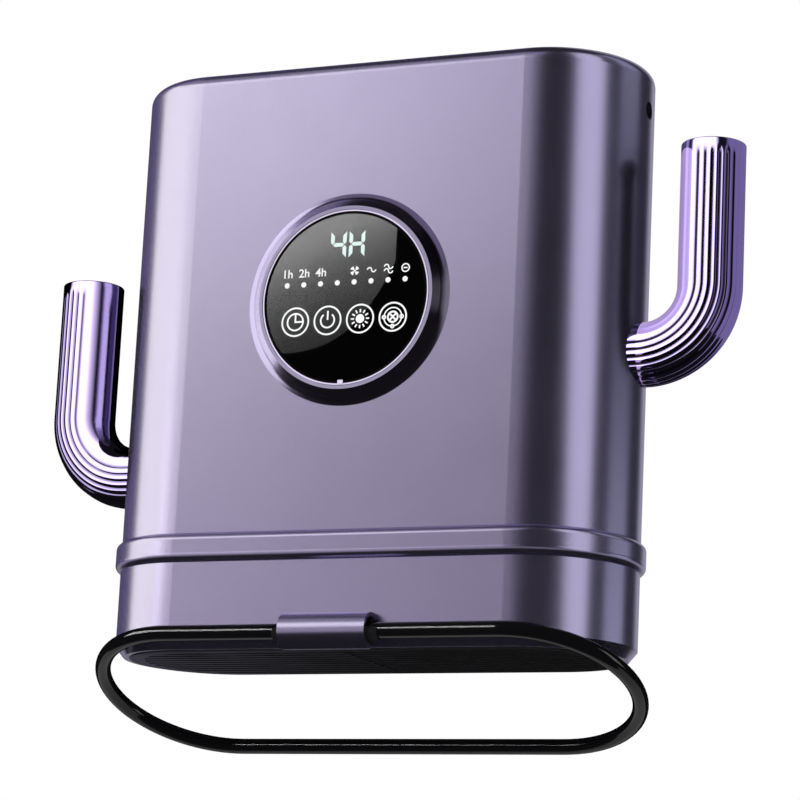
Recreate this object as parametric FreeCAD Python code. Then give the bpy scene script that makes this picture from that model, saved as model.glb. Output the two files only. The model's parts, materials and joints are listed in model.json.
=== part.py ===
import FreeCAD, Part
import math
import os

# Cactus-shaped warm-air dryer head. Millimetres, +Z up, the panel faces -Y. Heights are taken from the
# foot of the skirt; on export everything drops so that the origin lies midway between the hanging sockets.

V = FreeCAD.Vector
X_AXIS = V(1, 0, 0)
Y_AXIS = V(0, 1, 0)
Z_AXIS = V(0, 0, 1)

# Clearances
MOULD_FIT = 0.15
SEAT_GAP = 0.05
RUNNING_FIT = 0.05
HOOP_GAP = 0.3
TINY = 0.02

# Body: a flat upright casing with half-round ends
BODY_WIDTH = 210.0
BODY_DEPTH = 75.0
BODY_HEIGHT = 228.5
TOP_FILLET = 5.5
WALL = 2.4

# Skirt below the casing, with a bag bead round its upper edge
CHAMFER_HEIGHT = 4.0
CHAMFER_INSET = 3.2
BEAD_BOTTOM = 33.0
BEAD_LOWER_SHOULDER = 3.2
BEAD_FLAT = 5.0
BEAD_UPPER_SHOULDER = 2.6
BEAD_PROUD = 2.1
SHADOW_GAP = 0.4
SHADOW_DEPTH = 0.8
LIP_THICKNESS = 1.6
LIP_HEIGHT = 5.0
LIP_ROOT = 4.0
BOSS_REACH = 26.0
BOSS_ANGLE = 38.0
BOSS_RADIUS = 4.0
SKIRT_BOSS_FOOT = 24.0
HOUSING_BOSS_TOP = 60.0
WEB_THICKNESS = 2.0

# Slatted outlet plate in the foot
PLATE_INSET = 5.6
PLATE_THICKNESS = 2.4
PLATE_PROUD = 0.4
PLATE_EDGE = 0.3
LEDGE_WIDTH = 3.5
LEDGE_THICKNESS = 2.0
SLOT_FIELD_INSET = 11.5
SLOT_COUNT = 10
SLOT_PITCH = 5.5
SLOT_WIDTH = 2.7
BAR_WIDTH = 1.2
BAR_PROUD = 0.3
HOOK_THICKNESS = 1.7
HOOK_BARB = 0.5
HOOK_BARB_HEIGHT = 1.4
HOOK_HALF_ANGLE = 7.0
HOOK_ANGLES = (0.0, 55.0, -55.0)

# Bag hoop of round wire and the clip it turns in
WIRE_RADIUS = 3.0
HINGE_HEIGHT = 5.3
HOOP_TILT = 24.6
CLIP_HALF_LENGTH = 17.6
CLIP_OUTER = 6.8
CLIP_INNER = 5.4
CLIP_LIP_ANGLE = -58.0
TAB_X = 10.0
TAB_WIDTH = 6.0
TAB_HEIGHT = 1.8
TAB_RISE = 0.3
TAB_TIP = 0.3
KEEPER_HALF_LENGTH = 15.0
KEEPER_THICKNESS = 1.6
KEEPER_MARGIN = 2.4
LINER_OVERHANG = 3.6
LINER_TIP_WALL = 0.5
LINER_STUB_WALL = 1.35
LINER_START = -190.0
LINER_SWEEP = 135.0

# Round control panel
PANEL_HEIGHT = 132.8
BEZEL_BASE = 41.5
BEZEL_CREASE = 38.3
BEZEL_CREASE_RISE = 1.7
BEZEL_SAG = 0.28
BEZEL_LIP_OUTER = 35.75
BEZEL_LIP_INNER = 34.45
BEZEL_RISE = 3.6
BEZEL_LEDGE_INNER = 32.0
BEZEL_LEDGE_THICKNESS = 2.0
SPIGOT_OUTER = 36.2
SPIGOT_DEPTH = 4.9
LOCK_RING_OUTER = 40.0
LOCK_RING_THICKNESS = 2.5
TRIM_OUTER = 34.2
TRIM_INNER = 33.65
TRIM_RISE = 3.55
TRIM_TAB_HALF = 1.1
TRIM_TAB_LENGTH = 1.6
TRIM_TAB_THICKNESS = 0.35
GLASS_THICKNESS = 2.0
GLASS_RISE = 3.4
GLASS_EDGE = 0.3
BOARD_DEPTH = 5.5
BOARD_RADIUS = 33.8
BOARD_THICKNESS = 1.6
BOARD_POST_REACH = 31.0
BOARD_POST_RADIUS = 2.6
BOARD_POST_ANGLES = (90.0, 210.0, 330.0)
CHIP_SIZES = ((-16.0, 8.0, 9.0), (4.0, -12.0, 12.0), (14.0, 10.0, 7.0))
CHIP_HEIGHT = 1.8
DISPLAY_RISE = 20.85
DISPLAY_X = -1.0
DISPLAY_HALF_WIDTH = 9.5
DISPLAY_HALF_HEIGHT = 7.0
DOT_RISE = 5.65
DOT_PITCH = 6.98
DOT_COUNT = 8
DOT_WELL = 1.3
LIGHT_BAR_HALF_LENGTH = 27.5
LIGHT_BAR_HALF_HEIGHT = 2.4
LIGHT_WELL_DEPTH = 4.0
KEY_DROP = 8.85
KEY_PITCH = 13.43
KEY_COUNT = 4
KEY_PAD_RADIUS = 4.5

# Ribbed elbow arms
ARM_RADIUS = 12.3
ARM_BORE = 10.2
ARM_BEND = 24.9
ARM_STANDOFF = 26.1
ARM_RISE = 82.3
RIGHT_ARM_HEIGHT = 114.75
LEFT_ARM_HEIGHT = 74.1
GROOVE_COUNT = 17
GROOVE_PITCH = 13.0
GROOVE_WIDTH = 0.85
GROOVE_DEPTH = 0.55
GROOVE_OVERCUT = 0.4
GROOVE_FADE_LOW = 6.0
GROOVE_FADE_HIGH = 2.5
ARM_RIM_EDGE = 0.6
OUTLET_SEAT_RADIUS = 11.0
OUTLET_SEAT_DEPTH = 4.0
OUTLET_THICKNESS = 1.8
OUTLET_SLOTS = 4
OUTLET_SLOT_WIDTH = 2.2
OUTLET_SLOT_PITCH = 4.2
OUTLET_FIELD_RADIUS = 8.6
ARM_SPIGOT_WALL = 1.0
ARM_SPIGOT_LENGTH = 16.8
ARM_HOLE_FIT = 0.2
GASKET_RADIUS = 16.0
GASKET_MIN = 1.7
NUT_RADIUS = 15.5
NUT_THICKNESS = 3.5
NUT_NOTCHES = 6
NUT_NOTCH = 2.4
HOSE_WALL = 1.5
HOSE_NUT_GAP = 0.5
RIGHT_HOSE_BEND = 14.0
LEFT_HOSE_BEND = 16.0
LEFT_HOSE_LEAD = 7.0

# Hanging sockets in the ends
HANGER_DROP = 17.7
HANGER_BORE = 3.4
HANGER_HOLE = 3.45
HANGER_BUSH_RADIUS = 6.0
HANGER_BUSH_LENGTH = 10.6
HANGER_BUSH_FLOOR = 2.0
COLLAR_RADIUS = 7.6
COLLAR_LENGTH = 8.0

# Air intake in the back
INTAKE_HOLE = 40.2
INTAKE_FLANGE = 43.0
INTAKE_FLANGE_THICKNESS = 1.6
INTAKE_EDGE = 0.6
INTAKE_RING_WALL = 1.7
INTAKE_RING_DEPTH = 6.5
INTAKE_FIELD = 36.0
INTAKE_SLOTS = 13
INTAKE_SLOT_PITCH = 5.2
INTAKE_SLOT_WIDTH = 2.8
INTAKE_RIB = 3.0
FILTER_THICKNESS = 3.0

# Blower
BLOWER_HEIGHT = 165.0
SCROLL_RADIUS = 41.0
SCROLL_STEP = 3.5
SCROLL_WALL = 2.0
SCROLL_FRONT = -24.0
SCROLL_BACK = 16.0
SCROLL_FOOT = 112.0
COVER_THICKNESS = 2.0
COVER_INLET = 27.5
BELL_LIP = 2.0
BELL_RISE = 3.0
EAR_RADIUS = 5.0
EAR_REACH = 3.5
EAR_LOW_RISE = 20.0
POST_RADIUS = 3.2
WHEEL_RADIUS = 37.0
WHEEL_BACK = 13.0
WHEEL_FRONT = -19.0
WHEEL_PLATE = 1.5
WHEEL_RING_INNER = 29.5
WHEEL_RING = 2.0
WHEEL_CUP = 19.0
WHEEL_CUP_WALL = 2.0
WHEEL_HUB_FACE = 3.0
WHEEL_HUB_RADIUS = 4.0
WHEEL_HUB_BACK = 8.0
BLADE_COUNT = 28
BLADE_INNER = 29.8
BLADE_OUTER = 36.8
BLADE_LEAN = 13.0
BLADE_BELLY = 4.5
BLADE_ANGLE_THICKNESS = 1.7
BLADE_BITE = 0.4
MOTOR_RADIUS = 15.0
MOTOR_BACK = -3.0
MOTOR_NOSE = 4.0
MOTOR_NOSE_LENGTH = 2.0
SHAFT_RADIUS = 1.5
SHAFT_END_GAP = 1.0

# Heater and air ducts
HOSE_ROOM = 48.6
HEATER_HALF_DEPTH = 20.0
HEATER_FOOT = 74.0
HEATER_HEIGHT = 18.0
HEATER_WALL = 2.6
HEATER_CORNER = 3.0
HEATER_MARGIN = 2.0
ELEMENT_THICKNESS = 4.0
ELEMENT_Y = 6.5
FIN_THICKNESS = 0.5
FIN_PITCH = 6.0
FIN_GAP = 0.1
CUTOUT_X = 20.0
CUTOUT_RADIUS = 7.0
CUTOUT_LENGTH = 5.0
CUTOUT_CAP_RADIUS = 5.2
CUTOUT_CAP_LENGTH = 2.0
DUCT_WALL = 1.8
PLENUM_KNEE = 48.0
PLENUM_FOOT_HEIGHT = 4.0
PLENUM_INSET = 6.5
PLENUM_END_FLAT = 0.5
STUB_HEIGHT = 62.0
STUB_LENGTH = 5.5
STUB_START = 0.5

# Negative-ion unit
ION_LEFT = -90.0
ION_RIGHT = -62.0
ION_FRONT = -2.0
ION_BACK = 12.0
ION_BOTTOM = 150.0
ION_TOP = 180.0
ION_POST_X = -68.0
ION_POST_INSET = 6.0
EMITTER_X = -20.0
EMITTER_HALF_WIDTH = 8.0
EMITTER_HALF_HEIGHT = 5.0
EMITTER_DEPTH = 5.0
EMITTER_NOSE_MARGIN = 2.0
EMITTER_NOSE_REACH = 0.7
NEEDLE_RADIUS = 0.6
NEEDLE_LENGTH = 5.0
NEEDLE_X = 3.0

# Mains supply
INLET_X = 48.0
INLET_HEIGHT = 62.0
INLET_HALF_WIDTH = 11.0
INLET_HALF_HEIGHT = 6.0
INLET_DEPTH = 15.0
INLET_FLANGE = 2.5
INLET_FLANGE_THICKNESS = 1.2
INLET_RECESS_HALF_LENGTH = 8.3
INLET_RECESS_RADIUS = 4.2
INLET_RECESS_DEPTH = 13.0
PIN_RADIUS = 1.2
PIN_LENGTH = 9.0
PIN_X = 4.3
BOARD_LEFT = 58.0
BOARD_RIGHT = 96.0
BOARD_FRONT = 8.0
BOARD_BOTTOM = 142.0
BOARD_TOP = 200.0
BOARD_INSET = 5.0
TRANSFORMER = ((62.0, 80.0), (-9.0, 8.0), (149.0, 167.0))
RELAY = ((63.0, 82.0), (-4.0, 8.0), (176.0, 190.0))
CAPACITOR_X = 88.0
CAPACITOR_HEIGHT = 158.0
CAPACITOR_RADIUS = 5.5
CAPACITOR_LENGTH = 16.0

# Places worked out from the sizes above
END_RADIUS = BODY_DEPTH / 2
STRAIGHT = BODY_WIDTH / 2 - END_RADIUS
SIDE = BODY_WIDTH / 2
FRONT = -BODY_DEPTH / 2
BACK = BODY_DEPTH / 2
SEAM = BEAD_BOTTOM + BEAD_LOWER_SHOULDER + BEAD_FLAT + BEAD_UPPER_SHOULDER
LEDGE_FOOT = PLATE_THICKNESS - PLATE_PROUD
LEDGE_TOP = LEDGE_FOOT + LEDGE_THICKNESS
LEDGE_INSET = PLATE_INSET + LEDGE_WIDTH
HINGE_Y = FRONT - HOOP_GAP - WIRE_RADIUS
LINER_BORE = WIRE_RADIUS + RUNNING_FIT
CLIP_TOP = HINGE_HEIGHT + CLIP_OUTER
TAB_FOOT = HINGE_HEIGHT + CLIP_INNER - TAB_RISE
KEEPER_FRONT = FRONT + WALL
KEEPER_BACK = KEEPER_FRONT + KEEPER_THICKNESS
GLASS_BACK = GLASS_RISE - GLASS_THICKNESS
BOARD_FACE = FRONT + BOARD_DEPTH
ARM_X = SIDE + ARM_STANDOFF
ARM_SPIGOT = ARM_BORE + ARM_SPIGOT_WALL
SPIGOT_END = SIDE - ARM_SPIGOT_LENGTH
HOSE_BORE = ARM_SPIGOT + SEAT_GAP
HANGER_HEIGHT = BODY_HEIGHT - HANGER_DROP
HEATER_HALF_WIDTH = SIDE - WALL - HOSE_ROOM
HEATER_TOP = HEATER_FOOT + HEATER_HEIGHT
COVER_BACK = SCROLL_BACK + COVER_THICKNESS
SCROLL_LEFT = -SCROLL_RADIUS - 3 * SCROLL_STEP
POWER_BOARD_BACK = BOARD_FRONT + BOARD_THICKNESS
CORNERS = [(side * STRAIGHT, 90 - side * (90 - flip * BOSS_ANGLE)) for side in (1, -1) for flip in (1, -1)]


def on_circle(centre, radius, degrees):
    """Point of a circle in a section plane."""
    angle = math.radians(degrees)
    return (centre[0] + radius * math.cos(angle), centre[1] + radius * math.sin(angle))


def spread(count, pitch):
    """Evenly pitched offsets centred on zero."""
    return [(i - (count - 1) / 2) * pitch for i in range(count)]


def wall_x(y, inset):
    """Reach of the right end wall at a given y, moved in by an inset."""
    return STRAIGHT + math.sqrt((END_RADIUS - inset) ** 2 - y ** 2)


def wall_y(x, inset):
    """Reach of the back wall at a given x, moved in by an inset."""
    along = max(abs(x) - STRAIGHT, 0.0)
    return math.sqrt((END_RADIUS - inset) ** 2 - along ** 2)


def block(x, y, z):
    """Box between low and high values along each axis."""
    low = V(x[0], y[0], z[0])
    return Part.makeBox(x[1] - x[0], y[1] - y[0], z[1] - z[0], low)


def rod(axis, centre, span, radius):
    """Cylinder along an axis; the centre gives the two other coordinates in x, y, z order."""
    if axis == "x":
        return Part.makeCylinder(radius, span[1] - span[0], V(span[0], centre[0], centre[1]), X_AXIS)
    if axis == "y":
        return Part.makeCylinder(radius, span[1] - span[0], V(centre[0], span[0], centre[1]), Y_AXIS)
    return Part.makeCylinder(radius, span[1] - span[0], V(centre[0], centre[1], span[0]), Z_AXIS)


def ring(axis, centre, span, outer, inner):
    """Cylinder with a through bore."""
    return rod(axis, centre, span, outer).cut(rod(axis, centre, span, inner))


def closed_wire(start, steps, place):
    """Closed outline of lines, given by end points, and arcs, given by (point on the way, end point)."""
    edges = []
    here = start
    for step in steps + [start]:
        if isinstance(step[0], tuple):
            edges.append(Part.Arc(place(*here), place(*step[0]), place(*step[1])).toShape())
            here = step[1]
        else:
            edges.append(Part.makeLine(place(*here), place(*step)))
            here = step
    return Part.Wire(edges)


def turned(start, steps, centre):
    """Solid of revolution about a line along -Y; the section is (radius, rise off the front wall)."""
    x, z = centre
    wire = closed_wire(start, steps, lambda r, rise: V(x + r, FRONT - rise, z))
    return Part.Face(wire).revolve(V(x, 0, z), Y_AXIS, 360)


def body_wire(inset, height):
    """Outline of the body at a height, moved in by an inset."""
    radius = END_RADIUS - inset
    steps = [(STRAIGHT, -radius), ((STRAIGHT + radius, 0), (STRAIGHT, radius)), (-STRAIGHT, radius)]
    edges = closed_wire((-STRAIGHT, -radius), steps, lambda x, y: V(x, y, height)).Edges[:3]
    edges.append(Part.Arc(edges[2].lastVertex().Point, V(-STRAIGHT - radius, 0, height),
                          V(-STRAIGHT, -radius, height)).toShape())
    return Part.Wire(edges)


def body_block(inset, low, high):
    """Solid with the body's outline moved in by an inset."""
    return Part.Face(body_wire(inset, low)).extrude(V(0, 0, high - low))


def around_body(start, steps):
    """Wall section, given as (inset, height), carried all round the body."""
    section = Part.Face(closed_wire(start, steps, lambda inset, z: V(-STRAIGHT, FRONT + inset, z)))
    front = section.extrude(V(2 * STRAIGHT, 0, 0))
    back = front.mirror(V(0, 0, 0), Y_AXIS)
    left = section.revolve(V(-STRAIGHT, 0, 0), Z_AXIS, -180)
    right = left.mirror(V(0, 0, 0), X_AXIS)
    return front.fuse([back, left, right]).removeSplitter()


def rounded_wire(x, y, corner, height):
    """Rounded rectangle between low and high x and y."""
    bend = corner * (1 - math.sqrt(0.5))
    steps = [(x[1] - corner, y[0]), ((x[1] - bend, y[0] + bend), (x[1], y[0] + corner)),
             (x[1], y[1] - corner), ((x[1] - bend, y[1] - bend), (x[1] - corner, y[1])),
             (x[0] + corner, y[1]), ((x[0] + bend, y[1] - bend), (x[0], y[1] - corner)),
             (x[0], y[0] + corner), ((x[0] + bend, y[0] + bend), (x[0] + corner, y[0]))]
    wire = closed_wire((x[0] + corner, y[0]), steps[:7], lambda u, v: V(u, v, height))
    edges = wire.Edges[:7]
    edges.append(Part.Arc(edges[6].lastVertex().Point, V(steps[7][0][0], steps[7][0][1], height),
                          V(steps[7][1][0], steps[7][1][1], height)).toShape())
    return Part.Wire(edges)


def duct(low_wire, high_wire):
    """Straight-sided solid between two outlines."""
    return Part.makeLoft([low_wire, high_wire], True, True)


def bent_rod(points, bend, radius):
    """Round rod in the plane y = 0, through (x, z) corner points with round bends."""
    corners = [V(x, 0, z) for x, z in points]
    pieces = []
    here = corners[0]
    for before, corner, after in zip(corners, corners[1:], corners[2:]):
        back = (before - corner).normalize()
        ahead = (after - corner).normalize()
        half = back.getAngle(ahead) / 2
        start = corner + back * (bend / math.tan(half))
        pivot = corner + (back + ahead).normalize() * (bend / math.sin(half))
        pieces.append(Part.makeCylinder(radius, start.distanceToPoint(here), here, back * -1))
        disc = Part.Face(Part.Wire([Part.Circle(start, back, radius).toShape()]))
        pieces.append(disc.revolve(pivot, ahead.cross(back), 180 - math.degrees(2 * half)))
        here = corner + ahead * (bend / math.tan(half))
    last = corners[-1] - here
    pieces.append(Part.makeCylinder(radius, last.Length, here, last))
    return pieces[0].fuse(pieces[1:])


def pipe(points, bend, outer, inner):
    """Bent tube in the plane y = 0."""
    return bent_rod(points, bend, outer).cut(bent_rod(points, bend, inner))


def boss_centre(corner):
    """Where a skirt screw stands."""
    return on_circle((corner[0], 0), BOSS_REACH, corner[1])


def boss_web(corner, low, high):
    """Rib that ties a screw boss to the end wall."""
    half = WEB_THICKNESS / 2
    web = block((BOSS_REACH, END_RADIUS - WALL / 2), (-half, half), (low, high))
    return web.rotated(V(0, 0, 0), Z_AXIS, corner[1]).translated(V(corner[0], 0, 0))


def ear_points():
    """Screw points of the blower, just outside its spiral wall."""
    reach = SCROLL_WALL + EAR_REACH
    corner = (-SCROLL_STEP, BLOWER_HEIGHT - SCROLL_STEP)
    upper = on_circle(corner, SCROLL_RADIUS + 2 * SCROLL_STEP + reach, 135)
    lower = (SCROLL_LEFT - reach, SCROLL_FOOT + EAR_LOW_RISE)
    return [(SCROLL_RADIUS + reach, BLOWER_HEIGHT), upper, lower]


def board_posts():
    """Corners where the supply board is held."""
    return [(x, z) for x in (BOARD_LEFT + BOARD_INSET, BOARD_RIGHT - BOARD_INSET)
            for z in (BOARD_BOTTOM + BOARD_INSET, BOARD_TOP - BOARD_INSET)]


def ion_posts():
    """Points where the ion unit is held."""
    return [(ION_POST_X, ION_BOTTOM + ION_POST_INSET), (ION_POST_X, ION_TOP - ION_POST_INSET)]


def main_housing():
    inner = TOP_FILLET - WALL
    crown = (TOP_FILLET, BODY_HEIGHT - TOP_FILLET)
    outer_mid = on_circle(crown, TOP_FILLET, 135)
    inner_mid = on_circle(crown, inner, 135)
    steps = [(0, crown[1]), (outer_mid, (TOP_FILLET, BODY_HEIGHT)), (END_RADIUS, BODY_HEIGHT),
             (END_RADIUS, BODY_HEIGHT - WALL), (TOP_FILLET, BODY_HEIGHT - WALL), (inner_mid, (WALL, crown[1])),
             (WALL, SEAM), (SHADOW_DEPTH, SEAM), (SHADOW_DEPTH, SEAM + SHADOW_GAP)]
    shell = around_body((0, SEAM + SHADOW_GAP), steps)
    adds = []
    cuts = []
    for corner in CORNERS:
        adds.append(rod("z", boss_centre(corner), (SEAM, HOUSING_BOSS_TOP), BOSS_RADIUS))
        adds.append(boss_web(corner, SEAM + LIP_HEIGHT + HOOP_GAP, HOUSING_BOSS_TOP))
    for back, points in ((COVER_BACK, ear_points()), (POWER_BOARD_BACK, board_posts()), (ION_BACK, ion_posts())):
        for x, z in points:
            adds.append(rod("y", (x, z), (back, wall_y(x, WALL / 2)), POST_RADIUS))
    for side in (1, -1):
        height = RIGHT_ARM_HEIGHT if side > 0 else LEFT_ARM_HEIGHT
        far = sorted((side * STRAIGHT, side * (SIDE + WALL)))
        wall = sorted((side * (SIDE - WALL - COLLAR_LENGTH), side * (SIDE - WALL / 2)))
        socket = sorted((side * (SIDE - WALL - COLLAR_LENGTH), side * (SIDE - WALL)))
        adds.append(rod("x", (0, HANGER_HEIGHT), wall, COLLAR_RADIUS))
        bush = rod("x", (0, HANGER_HEIGHT), socket, HANGER_BUSH_RADIUS + MOULD_FIT)
        cuts.append(bush.common(body_block(WALL, SEAM, BODY_HEIGHT)))
        cuts.append(rod("x", (0, HANGER_HEIGHT), far, HANGER_HOLE))
        cuts.append(rod("x", (0, height), far, ARM_SPIGOT + ARM_HOLE_FIT))
    cuts.append(rod("y", (0, PANEL_HEIGHT), (FRONT - WALL, FRONT + 2 * WALL), SPIGOT_OUTER + MOULD_FIT))
    cuts.append(rod("y", (0, BLOWER_HEIGHT), (BACK - 2 * WALL, BACK + WALL), INTAKE_HOLE))
    half_width = INLET_HALF_WIDTH + MOULD_FIT
    half_height = INLET_HALF_HEIGHT + MOULD_FIT
    cuts.append(block((INLET_X - half_width, INLET_X + half_width), (BACK - 2 * WALL, BACK + WALL),
                      (INLET_HEIGHT - half_height, INLET_HEIGHT + half_height)))
    return shell.fuse(adds).cut(cuts)


def base_skirt():
    knee = BEAD_BOTTOM + BEAD_LOWER_SHOULDER
    crest = knee + BEAD_FLAT
    lip_out = WALL + MOULD_FIT
    lip_in = lip_out + LIP_THICKNESS
    rise = BEAD_PROUD * math.sqrt(0.5)
    low_mid = (-rise, BEAD_BOTTOM + BEAD_LOWER_SHOULDER * (1 - math.sqrt(0.5)))
    high_mid = (-rise, SEAM - BEAD_UPPER_SHOULDER * (1 - math.sqrt(0.5)))
    rim = PLATE_INSET - MOULD_FIT
    steps = [(0, CHAMFER_HEIGHT), (0, BEAD_BOTTOM), (low_mid, (-BEAD_PROUD, knee)), (-BEAD_PROUD, crest),
             (high_mid, (0, SEAM)), (lip_out, SEAM), (lip_out, SEAM + LIP_HEIGHT), (lip_in, SEAM + LIP_HEIGHT),
             (lip_in, SEAM - LIP_ROOT), (WALL, SEAM - LIP_ROOT - lip_in), (WALL, LEDGE_TOP),
             (LEDGE_INSET, LEDGE_TOP), (LEDGE_INSET, LEDGE_FOOT), (rim, LEDGE_FOOT), (rim, 0)]
    shell = around_body((CHAMFER_INSET, 0), steps)
    adds = []
    for corner in CORNERS:
        adds.append(rod("z", boss_centre(corner), (SKIRT_BOSS_FOOT, SEAM), BOSS_RADIUS))
        adds.append(boss_web(corner, SKIRT_BOSS_FOOT + WEB_THICKNESS, SEAM - LIP_ROOT))
    return shell.fuse(adds).cut([tab_block(x, MOULD_FIT) for x in (-TAB_X, TAB_X)])


def tab_block(x, grow):
    """Tab of the hoop clip that passes through the skirt's wall."""
    half = TAB_WIDTH / 2 + grow
    return block((x - half, x + half), (FRONT - WALL / 2, KEEPER_BACK + TAB_TIP),
                 (TAB_FOOT - grow, TAB_FOOT + TAB_HEIGHT + grow))


def hook(centre_x, degrees):
    """Snap hook of the outlet plate on one of its round ends."""
    ledge = END_RADIUS - LEDGE_INSET - MOULD_FIT
    root = LEDGE_FOOT - PLATE_PROUD
    catch = LEDGE_TOP + SEAT_GAP
    top = catch + HOOK_BARB_HEIGHT
    barb = ledge + MOULD_FIT + HOOK_BARB
    steps = [(ledge, root), (ledge, catch), (barb, catch), (ledge, top), (ledge - HOOK_THICKNESS, top)]
    wire = closed_wire((ledge - HOOK_THICKNESS, root), steps, lambda r, z: V(r, 0, z))
    leaf = Part.Face(wire).revolve(V(0, 0, 0), Z_AXIS, 2 * HOOK_HALF_ANGLE)
    turn = degrees - HOOK_HALF_ANGLE + (0 if centre_x > 0 else 180)
    return leaf.rotated(V(0, 0, 0), Z_AXIS, turn).translated(V(centre_x, 0, 0))


def outlet_grille():
    plate = around_body((PLATE_INSET + PLATE_EDGE, -PLATE_PROUD),
                        [(PLATE_INSET, PLATE_EDGE - PLATE_PROUD), (PLATE_INSET, LEDGE_FOOT),
                         (END_RADIUS, LEDGE_FOOT), (END_RADIUS, -PLATE_PROUD)])
    half = BAR_WIDTH / 2
    field = body_block(SLOT_FIELD_INSET, -PLATE_THICKNESS, LEDGE_TOP)
    cuts = []
    for y in spread(SLOT_COUNT, SLOT_PITCH):
        for x in ((-SIDE, -half), (half, SIDE)):
            slot = block(x, (y - SLOT_WIDTH / 2, y + SLOT_WIDTH / 2), (-PLATE_THICKNESS, LEDGE_TOP))
            cuts.append(slot.common(field))
    reach = END_RADIUS - SLOT_FIELD_INSET
    bar = block((-half, half), (-reach, reach), (-PLATE_PROUD - BAR_PROUD, 0))
    hooks = [hook(x, angle) for x in (-STRAIGHT, STRAIGHT) for angle in HOOK_ANGLES]
    return plate.cut(cuts).fuse([bar] + hooks)


def hoop_clip():
    centre = (HINGE_Y, HINGE_HEIGHT)
    front_outer = on_circle(centre, CLIP_OUTER, 180)
    front_inner = on_circle(centre, CLIP_INNER, 180)
    lip_outer = on_circle(centre, CLIP_OUTER, CLIP_LIP_ANGLE)
    lip_inner = on_circle(centre, CLIP_INNER, CLIP_LIP_ANGLE)
    root = math.degrees(math.acos((FRONT - HINGE_Y) / CLIP_INNER))
    root_point = on_circle(centre, CLIP_INNER, root)
    steps = [(HINGE_Y, CLIP_TOP), (front_outer, lip_outer), lip_inner, (front_inner, root_point)]
    wire = closed_wire((FRONT, CLIP_TOP), steps, lambda y, z: V(-CLIP_HALF_LENGTH, y, z))
    clip = Part.Face(wire).extrude(V(2 * CLIP_HALF_LENGTH, 0, 0))
    return clip.fuse([tab_block(x, 0) for x in (-TAB_X, TAB_X)])


def clip_keeper():
    z = (TAB_FOOT - KEEPER_MARGIN, TAB_FOOT + TAB_HEIGHT + KEEPER_MARGIN)
    plate = block((-KEEPER_HALF_LENGTH, KEEPER_HALF_LENGTH), (KEEPER_FRONT, KEEPER_BACK), z)
    return plate.cut([tab_block(x, SEAT_GAP) for x in (-TAB_X, TAB_X)])


def clip_liner():
    tip = CLIP_HALF_LENGTH + LINER_OVERHANG
    stub = CLIP_HALF_LENGTH + LINER_OVERHANG / 2
    seat = CLIP_INNER - SEAT_GAP
    thick = LINER_BORE + LINER_STUB_WALL
    thin = LINER_BORE + LINER_TIP_WALL
    steps = [(tip, LINER_BORE), (tip, thin), (stub, thick), (CLIP_HALF_LENGTH, thick), (CLIP_HALF_LENGTH, seat),
             (-CLIP_HALF_LENGTH, seat), (-CLIP_HALF_LENGTH, thick), (-stub, thick), (-tip, thin)]
    wire = closed_wire((-tip, LINER_BORE), steps, lambda x, r: V(x, HINGE_Y + r, HINGE_HEIGHT))
    axis = V(0, HINGE_Y, HINGE_HEIGHT)
    section = Part.Face(wire).rotated(axis, X_AXIS, LINER_START)
    return section.revolve(axis, X_AXIS, LINER_SWEEP)


def bag_hoop():
    reach = END_RADIUS + HOOP_GAP + WIRE_RADIUS
    start = V(STRAIGHT, -reach, HINGE_HEIGHT)
    disc = Part.Face(Part.Wire([Part.Circle(start, X_AXIS, WIRE_RADIUS).toShape()]))
    front = disc.extrude(V(-2 * STRAIGHT, 0, 0))
    right = disc.revolve(V(STRAIGHT, 0, HINGE_HEIGHT), Z_AXIS, 180)
    left = right.mirror(V(0, 0, 0), X_AXIS)
    back = front.mirror(V(0, 0, 0), Y_AXIS)
    level = front.fuse([right, back, left]).removeSplitter()
    return level.rotated(V(0, HINGE_Y, HINGE_HEIGHT), X_AXIS, -HOOP_TILT)


def panel_bezel():
    flare = ((BEZEL_BASE + BEZEL_CREASE) / 2, BEZEL_CREASE_RISE / 2)
    slope = math.atan2(BEZEL_CREASE_RISE, BEZEL_BASE - BEZEL_CREASE)
    hollow = (flare[0] - BEZEL_SAG * math.sin(slope), flare[1] - BEZEL_SAG * math.cos(slope))
    steps = [(hollow, (BEZEL_CREASE, BEZEL_CREASE_RISE)), (BEZEL_LIP_OUTER, BEZEL_RISE),
             (BEZEL_LIP_INNER, BEZEL_RISE), (BEZEL_LIP_INNER, GLASS_BACK), (BEZEL_LEDGE_INNER, GLASS_BACK),
             (BEZEL_LEDGE_INNER, GLASS_BACK - BEZEL_LEDGE_THICKNESS),
             (BEZEL_LIP_INNER, GLASS_BACK - BEZEL_LEDGE_THICKNESS), (BEZEL_LIP_INNER, -SPIGOT_DEPTH),
             (SPIGOT_OUTER, -SPIGOT_DEPTH), (SPIGOT_OUTER, 0)]
    bezel = turned((BEZEL_BASE, 0), steps, (0, PANEL_HEIGHT))
    ledge = FRONT - GLASS_BACK + BEZEL_LEDGE_THICKNESS
    inside = rod("y", (0, PANEL_HEIGHT), (FRONT - GLASS_RISE, BOARD_FACE), BEZEL_LIP_INNER + TINY)
    posts = []
    for degrees in BOARD_POST_ANGLES:
        centre = on_circle((0, PANEL_HEIGHT), BOARD_POST_REACH, degrees)
        post = rod("y", centre, (ledge - BEZEL_LEDGE_THICKNESS / 2, BOARD_FACE), BOARD_POST_RADIUS)
        posts.append(post.common(inside))
    return bezel.fuse(posts)


def panel_lock_ring():
    inner_face = FRONT + WALL
    return ring("y", (0, PANEL_HEIGHT), (inner_face, inner_face + LOCK_RING_THICKNESS),
                LOCK_RING_OUTER, SPIGOT_OUTER + SEAT_GAP)


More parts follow.
